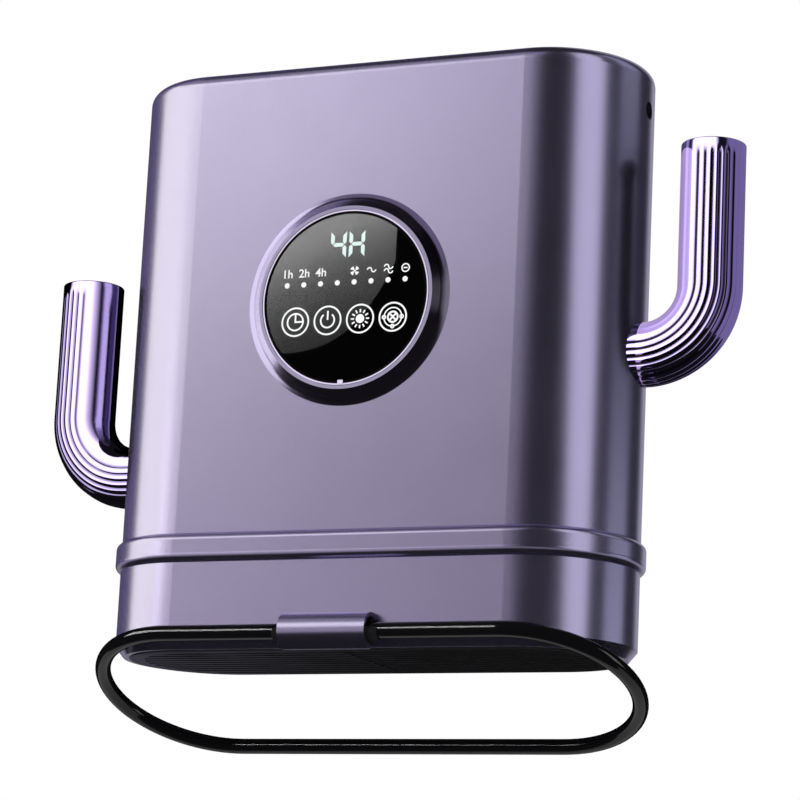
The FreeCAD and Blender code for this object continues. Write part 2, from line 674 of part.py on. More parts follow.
def trim_ring():
    band = ring("y", (0, PANEL_HEIGHT), (FRONT - TRIM_RISE, FRONT - GLASS_BACK), TRIM_OUTER, TRIM_INNER)
    face = FRONT - GLASS_RISE - TINY
    low = PANEL_HEIGHT - (TRIM_OUTER + TRIM_INNER) / 2
    tab = block((-TRIM_TAB_HALF, TRIM_TAB_HALF), (face - TRIM_TAB_THICKNESS, face), (low, low + TRIM_TAB_LENGTH))
    return band.fuse(tab)


def panel_glass():
    radius = TRIM_INNER - SEAT_GAP
    steps = [(radius, GLASS_BACK), (radius, GLASS_RISE - GLASS_EDGE), (radius - GLASS_EDGE, GLASS_RISE),
             (0, GLASS_RISE)]
    return turned((0, GLASS_BACK), steps, (0, PANEL_HEIGHT))


def under_glass():
    """Depth range between the glass and the control board."""
    return (FRONT - GLASS_BACK + SEAT_GAP, BOARD_FACE)


def display_module():
    z = PANEL_HEIGHT + DISPLAY_RISE
    return block((DISPLAY_X - DISPLAY_HALF_WIDTH, DISPLAY_X + DISPLAY_HALF_WIDTH), under_glass(),
                 (z - DISPLAY_HALF_HEIGHT, z + DISPLAY_HALF_HEIGHT))


def indicator_light_bar():
    z = PANEL_HEIGHT + DOT_RISE
    depth = under_glass()
    bar = block((-LIGHT_BAR_HALF_LENGTH, LIGHT_BAR_HALF_LENGTH), depth,
                (z - LIGHT_BAR_HALF_HEIGHT, z + LIGHT_BAR_HALF_HEIGHT))
    span = (depth[0], depth[0] + LIGHT_WELL_DEPTH)
    return bar.cut([rod("y", (x, z), span, DOT_WELL) for x in spread(DOT_COUNT, DOT_PITCH)])


def touch_pads():
    z = PANEL_HEIGHT - KEY_DROP
    pads = [rod("y", (x, z), under_glass(), KEY_PAD_RADIUS) for x in spread(KEY_COUNT, KEY_PITCH)]
    return Part.makeCompound(pads)


def control_board():
    back = BOARD_FACE + BOARD_THICKNESS
    board = rod("y", (0, PANEL_HEIGHT), (BOARD_FACE, back), BOARD_RADIUS)
    chips = []
    for x, rise, size in CHIP_SIZES:
        z = PANEL_HEIGHT + rise
        chips.append(block((x, x + size), (BOARD_FACE, back + CHIP_HEIGHT), (z, z + size)))
    return board.fuse(chips)


def groove(degrees):
    """Cutter for one groove: a wedge that follows the arm and runs out to a point below the rim."""
    spread_angle = math.degrees(GROOVE_WIDTH / 2 / ARM_RADIUS) * (1 + GROOVE_OVERCUT / GROOVE_DEPTH)
    outside = ARM_RADIUS + GROOVE_OVERCUT

    def at(radius, angle, height):
        x, y = on_circle((ARM_X, 0), radius, angle)
        return V(x, y, height)

    def wedge(height):
        points = [at(ARM_RADIUS - GROOVE_DEPTH, degrees, height), at(outside, degrees + spread_angle, height),
                  at(outside, degrees - spread_angle, height)]
        return Part.makePolygon(points + points[:1])
    knee = V(ARM_X - ARM_BEND, 0, ARM_BEND)
    section = Part.Face(wedge(ARM_BEND))
    fade = ARM_RISE - GROOVE_FADE_LOW
    upright = section.extrude(V(0, 0, fade - ARM_BEND))
    elbow = section.revolve(knee, Y_AXIS, 90)
    level = section.rotated(knee, Y_AXIS, 90).extrude(V(STRAIGHT - knee.x, 0, 0))
    point = Part.Vertex(at(outside, degrees, ARM_RISE - GROOVE_FADE_HIGH))
    return upright.fuse([elbow, level, Part.makeLoft([wedge(fade), point], True, True)])


def arm():
    """Right-hand arm, its level run lying at height zero."""
    points = [(STRAIGHT, 0), (ARM_X, 0), (ARM_X, ARM_RISE)]
    tube = bent_rod(points, ARM_BEND, ARM_RADIUS)
    tube = tube.makeFillet(ARM_RIM_EDGE, [e for e in tube.Edges if e.CenterOfMass.z > ARM_RISE - TINY])
    tube = tube.cut([groove(degrees) for degrees in spread(GROOVE_COUNT, GROOVE_PITCH)])
    tube = tube.cut(body_block(-SEAT_GAP, -ARM_RADIUS - WALL, ARM_RADIUS + WALL))
    tube = tube.fuse(rod("x", (0, 0), (SPIGOT_END, ARM_X - ARM_BEND), ARM_SPIGOT))
    seat = rod("z", (ARM_X, 0), (ARM_RISE - OUTLET_SEAT_DEPTH, ARM_RISE), OUTLET_SEAT_RADIUS)
    return tube.cut([bent_rod(points, ARM_BEND, ARM_BORE), seat])


def arm_outlet():
    """Recessed grille for the right-hand arm's open end."""
    low = ARM_RISE - OUTLET_SEAT_DEPTH
    span = (low, low + OUTLET_THICKNESS)
    disc = rod("z", (ARM_X, 0), span, OUTLET_SEAT_RADIUS - SEAT_GAP)
    field = rod("z", (ARM_X, 0), span, OUTLET_FIELD_RADIUS)
    half = OUTLET_SLOT_WIDTH / 2
    slots = [block((ARM_X + x - half, ARM_X + x + half), (-ARM_RADIUS, ARM_RADIUS), span).common(field)
             for x in spread(OUTLET_SLOTS, OUTLET_SLOT_PITCH)]
    return disc.cut(slots)


def gasket_face():
    """Where the right-hand gasket's flat face lies."""
    return wall_x(GASKET_RADIUS, WALL) - GASKET_MIN


def arm_gasket():
    face = gasket_face()
    pad = ring("x", (0, 0), (face, SIDE), GASKET_RADIUS, ARM_SPIGOT + SEAT_GAP)
    return pad.common(body_block(WALL + SEAT_GAP, -GASKET_RADIUS, GASKET_RADIUS))


def arm_nut():
    face = gasket_face()
    span = (face - NUT_THICKNESS, face)
    nut = ring("x", (0, 0), span, NUT_RADIUS, ARM_SPIGOT + SEAT_GAP)
    half = NUT_NOTCH / 2
    notches = []
    for i in range(NUT_NOTCHES):
        notch = block(span, (-half, half), (NUT_RADIUS - half, NUT_RADIUS + half))
        notches.append(notch.rotated(V(0, 0, 0), X_AXIS, i * 360 / NUT_NOTCHES))
    return nut.cut(notches)


def to_right(shape):
    """Place a right-hand arm piece at its height."""
    return shape.translated(V(0, 0, RIGHT_ARM_HEIGHT))


def to_left(shape):
    """Turn a right-hand arm piece round to the left end."""
    return shape.rotated(V(0, 0, 0), Z_AXIS, 180).translated(V(0, 0, LEFT_ARM_HEIGHT))


def hose_ends():
    """Distance from the middle at which a hose starts and ends."""
    return HEATER_HALF_WIDTH + STUB_START, gasket_face() - NUT_THICKNESS - HOSE_NUT_GAP


def right_arm_hose():
    start, end = hose_ends()
    corner = HEATER_HALF_WIDTH + STUB_START + STUB_LENGTH + RIGHT_HOSE_BEND
    points = [(start, STUB_HEIGHT), (corner, STUB_HEIGHT), (corner, RIGHT_ARM_HEIGHT), (end, RIGHT_ARM_HEIGHT)]
    return pipe(points, RIGHT_HOSE_BEND, HOSE_BORE + HOSE_WALL, HOSE_BORE)


def left_arm_hose():
    start, end = hose_ends()
    low = -start - STUB_LENGTH - LEFT_HOSE_LEAD
    high = LEFT_HOSE_LEAD - SPIGOT_END
    points = [(-start, STUB_HEIGHT), (low, STUB_HEIGHT), (high, LEFT_ARM_HEIGHT), (-end, LEFT_ARM_HEIGHT)]
    return pipe(points, LEFT_HOSE_BEND, HOSE_BORE + HOSE_WALL, HOSE_BORE)


def hanger_bush(side):
    back = SIDE - WALL - HANGER_BUSH_LENGTH
    plug = rod("x", (0, HANGER_HEIGHT), (back, SIDE), HANGER_BUSH_RADIUS)
    plug = plug.common(body_block(WALL + SEAT_GAP, SEAM, BODY_HEIGHT))
    bush = plug.cut(rod("x", (0, HANGER_HEIGHT), (back + HANGER_BUSH_FLOOR, SIDE), HANGER_BORE))
    return bush if side > 0 else bush.rotated(V(0, 0, 0), Z_AXIS, 180)


def intake_grille():
    outer = INTAKE_HOLE - MOULD_FIT
    face = BACK + INTAKE_FLANGE_THICKNESS
    plate = rod("y", (0, BLOWER_HEIGHT), (BACK, face), INTAKE_FLANGE)
    plate = plate.makeChamfer(INTAKE_EDGE, [e for e in plate.Edges if e.CenterOfMass.y > face - TINY])
    skirt = ring("y", (0, BLOWER_HEIGHT), (BACK - INTAKE_RING_DEPTH, BACK), outer, outer - INTAKE_RING_WALL)
    field = rod("y", (0, BLOWER_HEIGHT), (BACK, face), INTAKE_FIELD)
    rib = INTAKE_RIB / 2
    slots = []
    for rise in spread(INTAKE_SLOTS, INTAKE_SLOT_PITCH):
        z = (BLOWER_HEIGHT + rise - INTAKE_SLOT_WIDTH / 2, BLOWER_HEIGHT + rise + INTAKE_SLOT_WIDTH / 2)
        for x in ((-INTAKE_FIELD, -rib), (rib, INTAKE_FIELD)):
            slots.append(block(x, (BACK, face), z).common(field))
    return plate.cut(slots).fuse(skirt)


def intake_filter():
    radius = INTAKE_HOLE - MOULD_FIT - INTAKE_RING_WALL - SEAT_GAP
    return rod("y", (0, BLOWER_HEIGHT), (BACK - FILTER_THICKNESS, BACK), radius)


def scroll_face(grow, y):
    """Spiral outline of the blower casing with its downward outlet, let out by a wall thickness."""
    small = SCROLL_RADIUS + grow
    middle = small + SCROLL_STEP
    large = middle + SCROLL_STEP
    first = (0, BLOWER_HEIGHT)
    second = (-SCROLL_STEP, BLOWER_HEIGHT)
    third = (-SCROLL_STEP, BLOWER_HEIGHT - SCROLL_STEP)
    cut_off = BLOWER_HEIGHT - math.sqrt(small ** 2 - grow ** 2)
    start = math.degrees(math.atan2(cut_off - BLOWER_HEIGHT, grow))
    steps = [(grow, cut_off), (on_circle(first, small, start / 2), on_circle(first, small, 0)),
             (on_circle(second, middle, 45), on_circle(second, middle, 90)),
             (on_circle(third, large, 135), on_circle(third, large, 180)), (SCROLL_LEFT - grow, SCROLL_FOOT)]
    return Part.Face(closed_wire((grow, SCROLL_FOOT), steps, lambda x, z: V(x, y, z)))


def blower_scroll():
    casing = scroll_face(SCROLL_WALL, SCROLL_FRONT).extrude(V(0, SCROLL_BACK - SCROLL_FRONT, 0))
    inside = SCROLL_FRONT + SCROLL_WALL
    return casing.cut(scroll_face(0, inside).extrude(V(0, SCROLL_BACK - inside, 0)))


def blower_cover():
    plate = scroll_face(SCROLL_WALL, SCROLL_BACK).extrude(V(0, COVER_THICKNESS, 0))
    ears = [rod("y", point, (SCROLL_BACK, COVER_BACK), EAR_RADIUS) for point in ear_points()]
    bell = rod("y", (0, BLOWER_HEIGHT), (COVER_BACK, COVER_BACK + BELL_RISE), COVER_INLET + BELL_LIP)
    inlet = rod("y", (0, BLOWER_HEIGHT), (SCROLL_BACK, COVER_BACK + BELL_RISE), COVER_INLET)
    return plate.fuse(ears + [bell]).cut(inlet)


def blower_motor():
    seat = SCROLL_FRONT + SCROLL_WALL
    can = rod("y", (0, BLOWER_HEIGHT), (seat, MOTOR_BACK), MOTOR_RADIUS)
    nose = rod("y", (0, BLOWER_HEIGHT), (MOTOR_BACK, MOTOR_BACK + MOTOR_NOSE_LENGTH), MOTOR_NOSE)
    bore = rod("y", (0, BLOWER_HEIGHT), (seat, MOTOR_BACK + MOTOR_NOSE_LENGTH), SHAFT_RADIUS + RUNNING_FIT)
    return can.fuse(nose).cut(bore)


def motor_shaft():
    start = SCROLL_FRONT + SCROLL_WALL + SHAFT_END_GAP
    return rod("y", (0, BLOWER_HEIGHT), (start, WHEEL_HUB_BACK), SHAFT_RADIUS)


def blade():
    """One forward-curved blade, its foot at angle zero."""
    centre = (0, BLOWER_HEIGHT)
    mean = (BLADE_INNER + BLADE_OUTER) / 2
    lean = BLADE_LEAN + BLADE_ANGLE_THICKNESS
    belly = BLADE_BELLY + BLADE_ANGLE_THICKNESS
    steps = [(on_circle(centre, mean, BLADE_BELLY), on_circle(centre, BLADE_OUTER, BLADE_LEAN)),
             on_circle(centre, BLADE_OUTER, lean),
             (on_circle(centre, mean, belly), on_circle(centre, BLADE_INNER, BLADE_ANGLE_THICKNESS))]
    low = WHEEL_FRONT + WHEEL_PLATE - BLADE_BITE
    high = WHEEL_BACK - WHEEL_RING + BLADE_BITE
    wire = closed_wire(on_circle(centre, BLADE_INNER, 0), steps, lambda x, z: V(x, low, z))
    return Part.Face(wire).extrude(V(0, high - low, 0))


def blower_wheel():
    centre = (0, BLOWER_HEIGHT)
    plate = ring("y", centre, (WHEEL_FRONT, WHEEL_FRONT + WHEEL_PLATE), WHEEL_RADIUS, WHEEL_CUP - WHEEL_CUP_WALL)
    cup_back = WHEEL_HUB_FACE + WHEEL_CUP_WALL
    cup = ring("y", centre, (WHEEL_FRONT, cup_back), WHEEL_CUP, WHEEL_CUP - WHEEL_CUP_WALL)
    face = rod("y", centre, (WHEEL_HUB_FACE, cup_back), WHEEL_CUP)
    hub_start = MOTOR_BACK + MOTOR_NOSE_LENGTH + SHAFT_END_GAP
    hub = rod("y", centre, (hub_start, WHEEL_HUB_BACK), WHEEL_HUB_RADIUS)
    rim = ring("y", centre, (WHEEL_BACK - WHEEL_RING, WHEEL_BACK), WHEEL_RADIUS, WHEEL_RING_INNER)
    first = blade()
    turn = 360 / BLADE_COUNT
    blades = [first.rotated(V(0, 0, BLOWER_HEIGHT), Y_AXIS, i * turn) for i in range(BLADE_COUNT)]
    bore = rod("y", centre, (hub_start, WHEEL_HUB_BACK), SHAFT_RADIUS)
    return plate.fuse([cup, face, hub, rim] + blades).cut(bore)


def heater_rect(inset, height):
    """Outline of the heater and of the duct below it."""
    x = HEATER_HALF_WIDTH - inset
    y = HEATER_HALF_DEPTH - inset
    return rounded_wire((-x, x), (-y, y), HEATER_CORNER - inset / 2, height)


def outlet_diffuser():
    def throat(inset):
        x = (SCROLL_LEFT - SCROLL_WALL + inset, SCROLL_WALL - inset)
        y = (SCROLL_FRONT + inset, COVER_BACK - inset)
        return rounded_wire(x, y, HEATER_CORNER - inset / 2, SCROLL_FOOT)
    outer = duct(heater_rect(0, HEATER_TOP), throat(0))
    return outer.cut(duct(heater_rect(DUCT_WALL, HEATER_TOP), throat(DUCT_WALL)))


def heater_frame():
    tall = V(0, 0, HEATER_HEIGHT)
    outer = Part.Face(heater_rect(0, HEATER_FOOT)).extrude(tall)
    return outer.cut(Part.Face(heater_rect(HEATER_WALL, HEATER_FOOT)).extrude(tall))


def heater_span():
    """Height range of the heating pieces inside the frame."""
    return (HEATER_FOOT + HEATER_MARGIN, HEATER_TOP - HEATER_MARGIN)


def heater_elements():
    x = HEATER_HALF_WIDTH - HEATER_WALL
    half = ELEMENT_THICKNESS / 2
    bars = [block((-x, x), (y - half, y + half), heater_span()) for y in (-ELEMENT_Y, ELEMENT_Y)]
    return Part.makeCompound(bars)


def fin_row(low, high):
    """Folded strip between two faces of constant y."""
    span = heater_span()
    count = int((HEATER_HALF_WIDTH - HEATER_WALL) * 2 / FIN_PITCH) - 1
    xs = spread(count, FIN_PITCH)
    ys = [low if i % 2 else high - FIN_THICKNESS for i in range(count)]
    near = list(zip(xs, ys))
    far = [(x, y + FIN_THICKNESS) for x, y in reversed(near)]
    wire = closed_wire(near[0], near[1:] + far, lambda x, y: V(x, y, span[0]))
    return Part.Face(wire).extrude(V(0, 0, span[1] - span[0]))


def heater_fins():
    near = ELEMENT_Y - ELEMENT_THICKNESS / 2 - FIN_GAP
    far = ELEMENT_Y + ELEMENT_THICKNESS / 2 + FIN_GAP
    wall = HEATER_HALF_DEPTH - HEATER_WALL - FIN_GAP
    return Part.makeCompound([fin_row(-wall, -far), fin_row(-near, near), fin_row(far, wall)])


def thermal_cutout():
    centre = (CUTOUT_X, HEATER_FOOT + HEATER_HEIGHT / 2)
    face = -HEATER_HALF_DEPTH
    body = rod("y", centre, (face - CUTOUT_LENGTH, face), CUTOUT_RADIUS)
    start = face - CUTOUT_LENGTH - CUTOUT_CAP_LENGTH
    return body.fuse(rod("y", centre, (start, face - CUTOUT_LENGTH), CUTOUT_CAP_RADIUS))


def emitter_nose(grow):
    """Part of the ion emitter that sits in the duct's wall."""
    half_width = EMITTER_HALF_WIDTH - EMITTER_NOSE_MARGIN + grow
    half_height = EMITTER_HALF_HEIGHT - EMITTER_NOSE_MARGIN + grow
    return block((EMITTER_X - half_width, EMITTER_X + half_width),
                 (-HEATER_HALF_DEPTH, -HEATER_HALF_DEPTH + DUCT_WALL + EMITTER_NOSE_REACH),
                 (STUB_HEIGHT - half_height, STUB_HEIGHT + half_height))


def air_plenum():
    def foot(inset, height):
        y = END_RADIUS - PLENUM_INSET - inset
        x = STRAIGHT + y
        return rounded_wire((-x, x), (-y, y), y - PLENUM_END_FLAT, height)
    ankle = LEDGE_TOP + PLENUM_FOOT_HEIGHT
    solids = []
    for inset in (0, DUCT_WALL):
        sole = Part.Face(foot(inset, LEDGE_TOP)).extrude(V(0, 0, PLENUM_FOOT_HEIGHT))
        flare = duct(foot(inset, ankle), heater_rect(inset, PLENUM_KNEE))
        box = Part.Face(heater_rect(inset, PLENUM_KNEE)).extrude(V(0, 0, HEATER_FOOT - PLENUM_KNEE))
        solids.append(sole.fuse([flare, box]))
    reach = HEATER_HALF_WIDTH + STUB_START + STUB_LENGTH
    stubs = rod("x", (0, STUB_HEIGHT), (-reach, reach), ARM_SPIGOT).cut(solids[0])
    bore = rod("x", (0, STUB_HEIGHT), (-reach, reach), ARM_BORE)
    return solids[0].fuse(stubs).cut([solids[1], bore, emitter_nose(SEAT_GAP)])


def ion_module():
    return block((ION_LEFT, ION_RIGHT), (ION_FRONT, ION_BACK), (ION_BOTTOM, ION_TOP))


def ion_emitter():
    face = -HEATER_HALF_DEPTH
    body = block((EMITTER_X - EMITTER_HALF_WIDTH, EMITTER_X + EMITTER_HALF_WIDTH), (face - EMITTER_DEPTH, face),
                 (STUB_HEIGHT - EMITTER_HALF_HEIGHT, STUB_HEIGHT + EMITTER_HALF_HEIGHT))
    tip = face + DUCT_WALL + EMITTER_NOSE_REACH
    needles = [rod("y", (EMITTER_X + x, STUB_HEIGHT), (face, tip + NEEDLE_LENGTH), NEEDLE_RADIUS)
               for x in (-NEEDLE_X, NEEDLE_X)]
    return body.fuse([emitter_nose(0)] + needles)


def power_inlet():
    def around(grow, y):
        return block((INLET_X - INLET_HALF_WIDTH - grow, INLET_X + INLET_HALF_WIDTH + grow), y,
                     (INLET_HEIGHT - INLET_HALF_HEIGHT - grow, INLET_HEIGHT + INLET_HALF_HEIGHT + grow))
    face = BACK + INLET_FLANGE_THICKNESS
    body = around(0, (BACK - INLET_DEPTH, face)).fuse(around(INLET_FLANGE, (BACK, face)))
    floor = face - INLET_RECESS_DEPTH
    offset = INLET_RECESS_HALF_LENGTH - INLET_RECESS_RADIUS
    ends = [rod("y", (INLET_X + x, INLET_HEIGHT), (floor, face), INLET_RECESS_RADIUS) for x in (-offset, offset)]
    waist = block((INLET_X - offset, INLET_X + offset), (floor, face),
                  (INLET_HEIGHT - INLET_RECESS_RADIUS, INLET_HEIGHT + INLET_RECESS_RADIUS))
    return body.cut(ends + [waist])


def inlet_pins():
    floor = BACK + INLET_FLANGE_THICKNESS - INLET_RECESS_DEPTH
    pins = [rod("y", (INLET_X + x, INLET_HEIGHT), (floor, floor + PIN_LENGTH), PIN_RADIUS) for x in (-PIN_X, PIN_X)]
    return Part.makeCompound(pins)


def power_board():
    return block((BOARD_LEFT, BOARD_RIGHT), (BOARD_FRONT, POWER_BOARD_BACK), (BOARD_BOTTOM, BOARD_TOP))


def power_components():
    can = rod("y", (CAPACITOR_X, CAPACITOR_HEIGHT), (BOARD_FRONT - CAPACITOR_LENGTH, BOARD_FRONT), CAPACITOR_RADIUS)
    return Part.makeCompound([block(*TRANSFORMER), block(*RELAY), can])


def all_nodes():
    elbow = arm()
    grille = arm_outlet()
    gasket = arm_gasket()
    nut = arm_nut()
    nodes = {maker.__name__: maker() for maker in (
        main_housing, base_skirt, outlet_grille, hoop_clip, clip_keeper, clip_liner, bag_hoop,
        panel_bezel, panel_lock_ring, trim_ring, panel_glass, display_module, indicator_light_bar, touch_pads,
        control_board, right_arm_hose, left_arm_hose, intake_grille, intake_filter,
        blower_scroll, blower_cover, blower_motor, motor_shaft, blower_wheel,
        outlet_diffuser, heater_frame, heater_elements, heater_fins, thermal_cutout, air_plenum,
        ion_module, ion_emitter, power_inlet, inlet_pins, power_board, power_components)}
    for name, shape in (("arm", elbow), ("arm_outlet", grille), ("arm_gasket", gasket), ("arm_nut", nut)):
        nodes["right_" + name] = to_right(shape)
        nodes["left_" + name] = to_left(shape)
    nodes["right_hanger_bush"] = hanger_bush(1)
    nodes["left_hanger_bush"] = hanger_bush(-1)
    return nodes


os.makedirs("parts", exist_ok=True)
for name, shape in all_nodes().items():
    shape.translated(V(0, 0, -HANGER_HEIGHT)).exportStep("parts/" + name + ".step")
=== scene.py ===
import json
import math

import bmesh
import bpy
from mathutils import Matrix, Vector


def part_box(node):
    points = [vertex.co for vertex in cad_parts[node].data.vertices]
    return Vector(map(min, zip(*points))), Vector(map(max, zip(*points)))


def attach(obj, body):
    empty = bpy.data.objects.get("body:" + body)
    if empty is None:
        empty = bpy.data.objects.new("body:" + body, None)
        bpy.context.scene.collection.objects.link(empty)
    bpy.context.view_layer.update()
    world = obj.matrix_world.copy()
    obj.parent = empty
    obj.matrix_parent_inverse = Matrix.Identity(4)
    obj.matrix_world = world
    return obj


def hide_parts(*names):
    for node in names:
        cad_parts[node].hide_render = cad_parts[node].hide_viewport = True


# Warm-air dryer head on white, seen from below and a little from its right. Sizes on the object are in
# millimetres and are turned into metres where they meet the frame; studio sizes are in metres.

MM = 0.001

# Camera, as the photograph was taken
VIEW_AZIMUTH = 23.4947
VIEW_ELEVATION = -12.489
VIEW_ROLL = 2.8069
VIEW_DISTANCE = 1.21283
VIEW_TARGET = Vector((7.006 * MM, 0.0, -109.204 * MM))
FOCAL_PIXELS = 3135.07
IMAGE_PIXELS = 800
SENSOR = 36.0

# Studio: reflectors round the object, seen only in reflections and each only by the pieces it is for.
# Azimuth 0 is in front of the panel and 90 off the object's right end. Stops are (azimuth, colour of light),
# blended in between. Those of the side strip are (elevation, level), those of the bezel light (azimuth, (lowest
# elevation, highest elevation, level)) and those of the arm side (depth in millimetres, colour of light).
STUDIO_MIDDLE = Vector((0.0, 0.0, -0.1))
FLOOR_HEIGHT = -0.45
FLOOR_SIZE = 12.0
DARK = (0.0, 0.0, 0.0)
FLAG_LIFT = 0.004
FLAG_LEVEL = 0.008
WALL_STEP = 1.0
WALL_HIGH = 62.0
CASING_WALL = 4.2
CASING_STOPS = (
    (-180.0, (0.46, 0.45, 0.48)),
    (-168.0, (0.46, 0.45, 0.48)),
    (-156.0, (0.08, 0.07, 0.11)),
    (-150.0, (0.08, 0.07, 0.11)),
    (-100.0, (0.11, 0.085, 0.19)),
    (-92.0, (0.006, 0.005, 0.008)),
    (42.0, (0.006, 0.005, 0.008)),
    (83.0, (0.02, 0.02, 0.025)),
    (160.0, (0.02, 0.02, 0.025)),
    (168.0, (0.46, 0.45, 0.48)),
    (180.0, (0.46, 0.45, 0.48)),
)
END_STRIP_SPAN = (38.0, 84.0)
END_STRIP_MIDDLE = 13.0
END_STRIP_TOP = 20.0
END_STRIP_RISES = (-4.0, 7.0, 10.0, END_STRIP_MIDDLE, 16.0, END_STRIP_TOP, WALL_HIGH)
END_STRIP_LEAN = 0.65
END_STRIP_LEFT = 46.0
END_STRIP_RIGHT = 77.5
END_STRIP_BLUR = 2.5
END_STRIP_LEVEL = (0.86, 0.86, 0.86)
SIDE_STRIP_SPAN = (100.0, 132.0)
SIDE_STRIP_TINT = (0.94, 1.0, 1.06)
SIDE_STRIP_STOPS = (
    (-4.0, (0.5,)),
    (8.5, (0.5,)),
    (12.0, (0.0,)),
    (17.0, (0.0,)),
    (20.0, (0.36,)),
    (WALL_HIGH, (0.36,)),
)
ARM_WALL = 3.6
ARM_FLOOR_RING = 0.7
LEFT_ARM_STOPS = (
    (-180.0, DARK),
    (-72.0, DARK),
    (-60.0, (1.9, 1.9, 1.9)),
    (22.0, (1.9, 1.9, 1.9)),
    (34.0, (1.0, 0.95, 1.0)),
    (56.0, (0.01, 0.01, 0.015)),
    (64.0, (0.01, 0.01, 0.015)),
    (72.0, (0.25, 0.2, 0.4)),
    (85.0, (0.74, 0.6, 0.9)),
    (97.0, (0.2, 0.13, 0.4)),
    (112.0, (0.02, 0.015, 0.05)),
    (120.0, DARK),
    (180.0, DARK),
)
RIGHT_ARM_STOPS = (
    (-180.0, (0.08, 0.07, 0.1)),
    (-125.0, (0.15, 0.13, 0.2)),
    (-93.0, (0.46, 0.37, 0.47)),
    (-62.0, (1.9, 1.9, 1.9)),
    (24.0, (1.9, 1.9, 1.9)),
    (37.0, (0.01, 0.01, 0.015)),
    (62.0, (0.01, 0.01, 0.015)),
    (72.0, (0.24, 0.21, 0.34)),
    (180.0, (0.24, 0.21, 0.34)),
)
CARD_RADIUS = 4.0
SOFTBOX_RADIUS = 4.06
SOFTBOX_SPAN = (-92.0, -23.25)
SOFTBOX_FOOT = 14.29
SOFTBOX_SLOPE = 0.43
SOFTBOX_LOWEST = -5.0
SOFTBOX_TOP = 40.0
SOFTBOX_ROWS = (0.0, 0.02, 0.04, 0.06, 0.09, 0.12, 0.16, 0.25, 0.5, 1.0)
SOFTBOX_SIDE = (1.46, 1.5, 1.18)
SOFTBOX_FADE = (-46.0, -24.0)
SOFTBOX_LOW = (13.8, (0.68, 0.66, 0.63))
SOFTBOX_HIGH = (16.8, (1.42, 1.42, 1.3))
LOW_FILL_RADIUS = 4.04
LOW_FILL_SPAN = (-50.0, 0.0)
LOW_FILL_RISE = (-4.5, 10.5)
LOW_FILL_LEVEL = (0.85, 0.79, 0.86)
HIGH_FILL_RADIUS = 4.02
HIGH_FILL_SPAN = (SOFTBOX_SPAN[1], 3.0)
HIGH_FILL_RISE = (14.5, SOFTBOX_TOP)
HIGH_FILL_LEVEL = (0.7, 0.68, 0.7)
UPPER_FILL_RADIUS = 4.08
UPPER_FILL_SPAN = (-92.0, 0.0)
UPPER_FILL_RISE = (SOFTBOX_TOP, WALL_HIGH)
UPPER_FILL_LEVEL = (0.3, 0.29, 0.32)
FLOOR_RING_REACH = 0.95
FLOOR_RING_LIFT = 0.006
FLOOR_RING_LEVEL = (0.36, 0.35, 0.37)
FLOOR_RING_STOPS = ((-180.0, FLOOR_RING_LEVEL), (180.0, FLOOR_RING_LEVEL))
PANEL_LIGHT_SPAN = (-28.0, -23.21)
PANEL_LIGHT_STEP = 0.12
PANEL_LIGHT_FOOT = 13.05
PANEL_LIGHT_TOP = 18.0
PANEL_LIGHT_ROWS = 16
PANEL_LIGHT_CORNER = 4.0
PANEL_LIGHT_CORNER_RISE = 2.34
PANEL_LIGHT_CORNER_POWER = 4
PANEL_LIGHT_MIDDLE = (-25.0, 15.0)
PANEL_LIGHT_LEVEL = 0.94
PANEL_LIGHT_GROWTH = (-0.5, 0.88)
PANEL_LIGHT_MOST = 2.0
BEZEL_LIGHT_RADIUS = 0.6
BEZEL_LIGHT_STOPS = (
    (-125.0, (-14.0, 48.0, 1.15)),
    (-50.0, (-14.0, 48.0, 1.15)),
    (-36.0, (4.0, 24.0, 0.65)),
    (-12.0, (4.0, 24.0, 0.5)),
    (0.0, (4.0, 24.0, 0.3)),
    (30.0, (4.0, 24.0, 0.22)),
    (50.0, (4.0, 24.0, 0.08)),
    (60.0, (4.0, 24.0, 0.0)),
)
BEZEL_FILL_RADIUS = 0.8
BEZEL_FILL_SPAN = (-60.0, 30.0)
BEZEL_FILL_RISE = (26.0, WALL_HIGH)
BEZEL_FILL_LEVEL = (0.17, 0.155, 0.21)
TRIM_LIGHT_RADIUS = 0.7
TRIM_LIGHT_SPAN = (-50.0, 0.0)
TRIM_LIGHT_RISE = (-5.0, 35.0)
TRIM_LIGHT_LEVEL = (1.3, 1.3, 1.2)
HOOP_LIGHT_RADIUS = 3.9
HOOP_STRIP_SPAN = (-75.0, -21.0)
HOOP_STRIP_RISE = (12.0, 32.0)
HOOP_STRIP_LEVEL = (7.0, 7.0, 7.0)
HOOP_SIDE_SPAN = (94.0, 110.0)
HOOP_SIDE_RISE = (-4.0, 30.0)
HOOP_SIDE_LEVEL = (1.6, 1.6, 1.6)
HOOP_FLOOR_LIFT = 0.008
HOOP_FLOOR_REACH = 0.5
HOOP_FLOOR_DEPTH = (0.0, 0.35)
HOOP_FLOOR_LEVEL = (0.42, 0.42, 0.42)
GRILLE_LIGHT_BEHIND = 0.3
GRILLE_LIGHT_SPAN = (-0.45, -0.12)
GRILLE_LIGHT_RISE = (-0.4, -0.2)
GRILLE_LIGHT_LEVEL = (0.5, 0.47, 0.62)
ARM_SIDE_GAP = 1.5
ARM_SIDE_STOPS = (
    (-45.0, DARK),
    (-30.0, DARK),
    (-20.0, (0.9, 0.82, 0.95)),
    (0.0, (0.46, 0.37, 0.47)),
    (25.0, (0.15, 0.13, 0.2)),
    (45.0, (0.08, 0.07, 0.1)),
)
KEY_AZIMUTH = -35.0
KEY_ELEVATION = 50.0
KEY_DISTANCE = 2.2
KEY_SIZE = 1.6
KEY_RADIANCE = 1.6
LAMP_POWER = 4
WORLD_DIFFUSE = 0.55

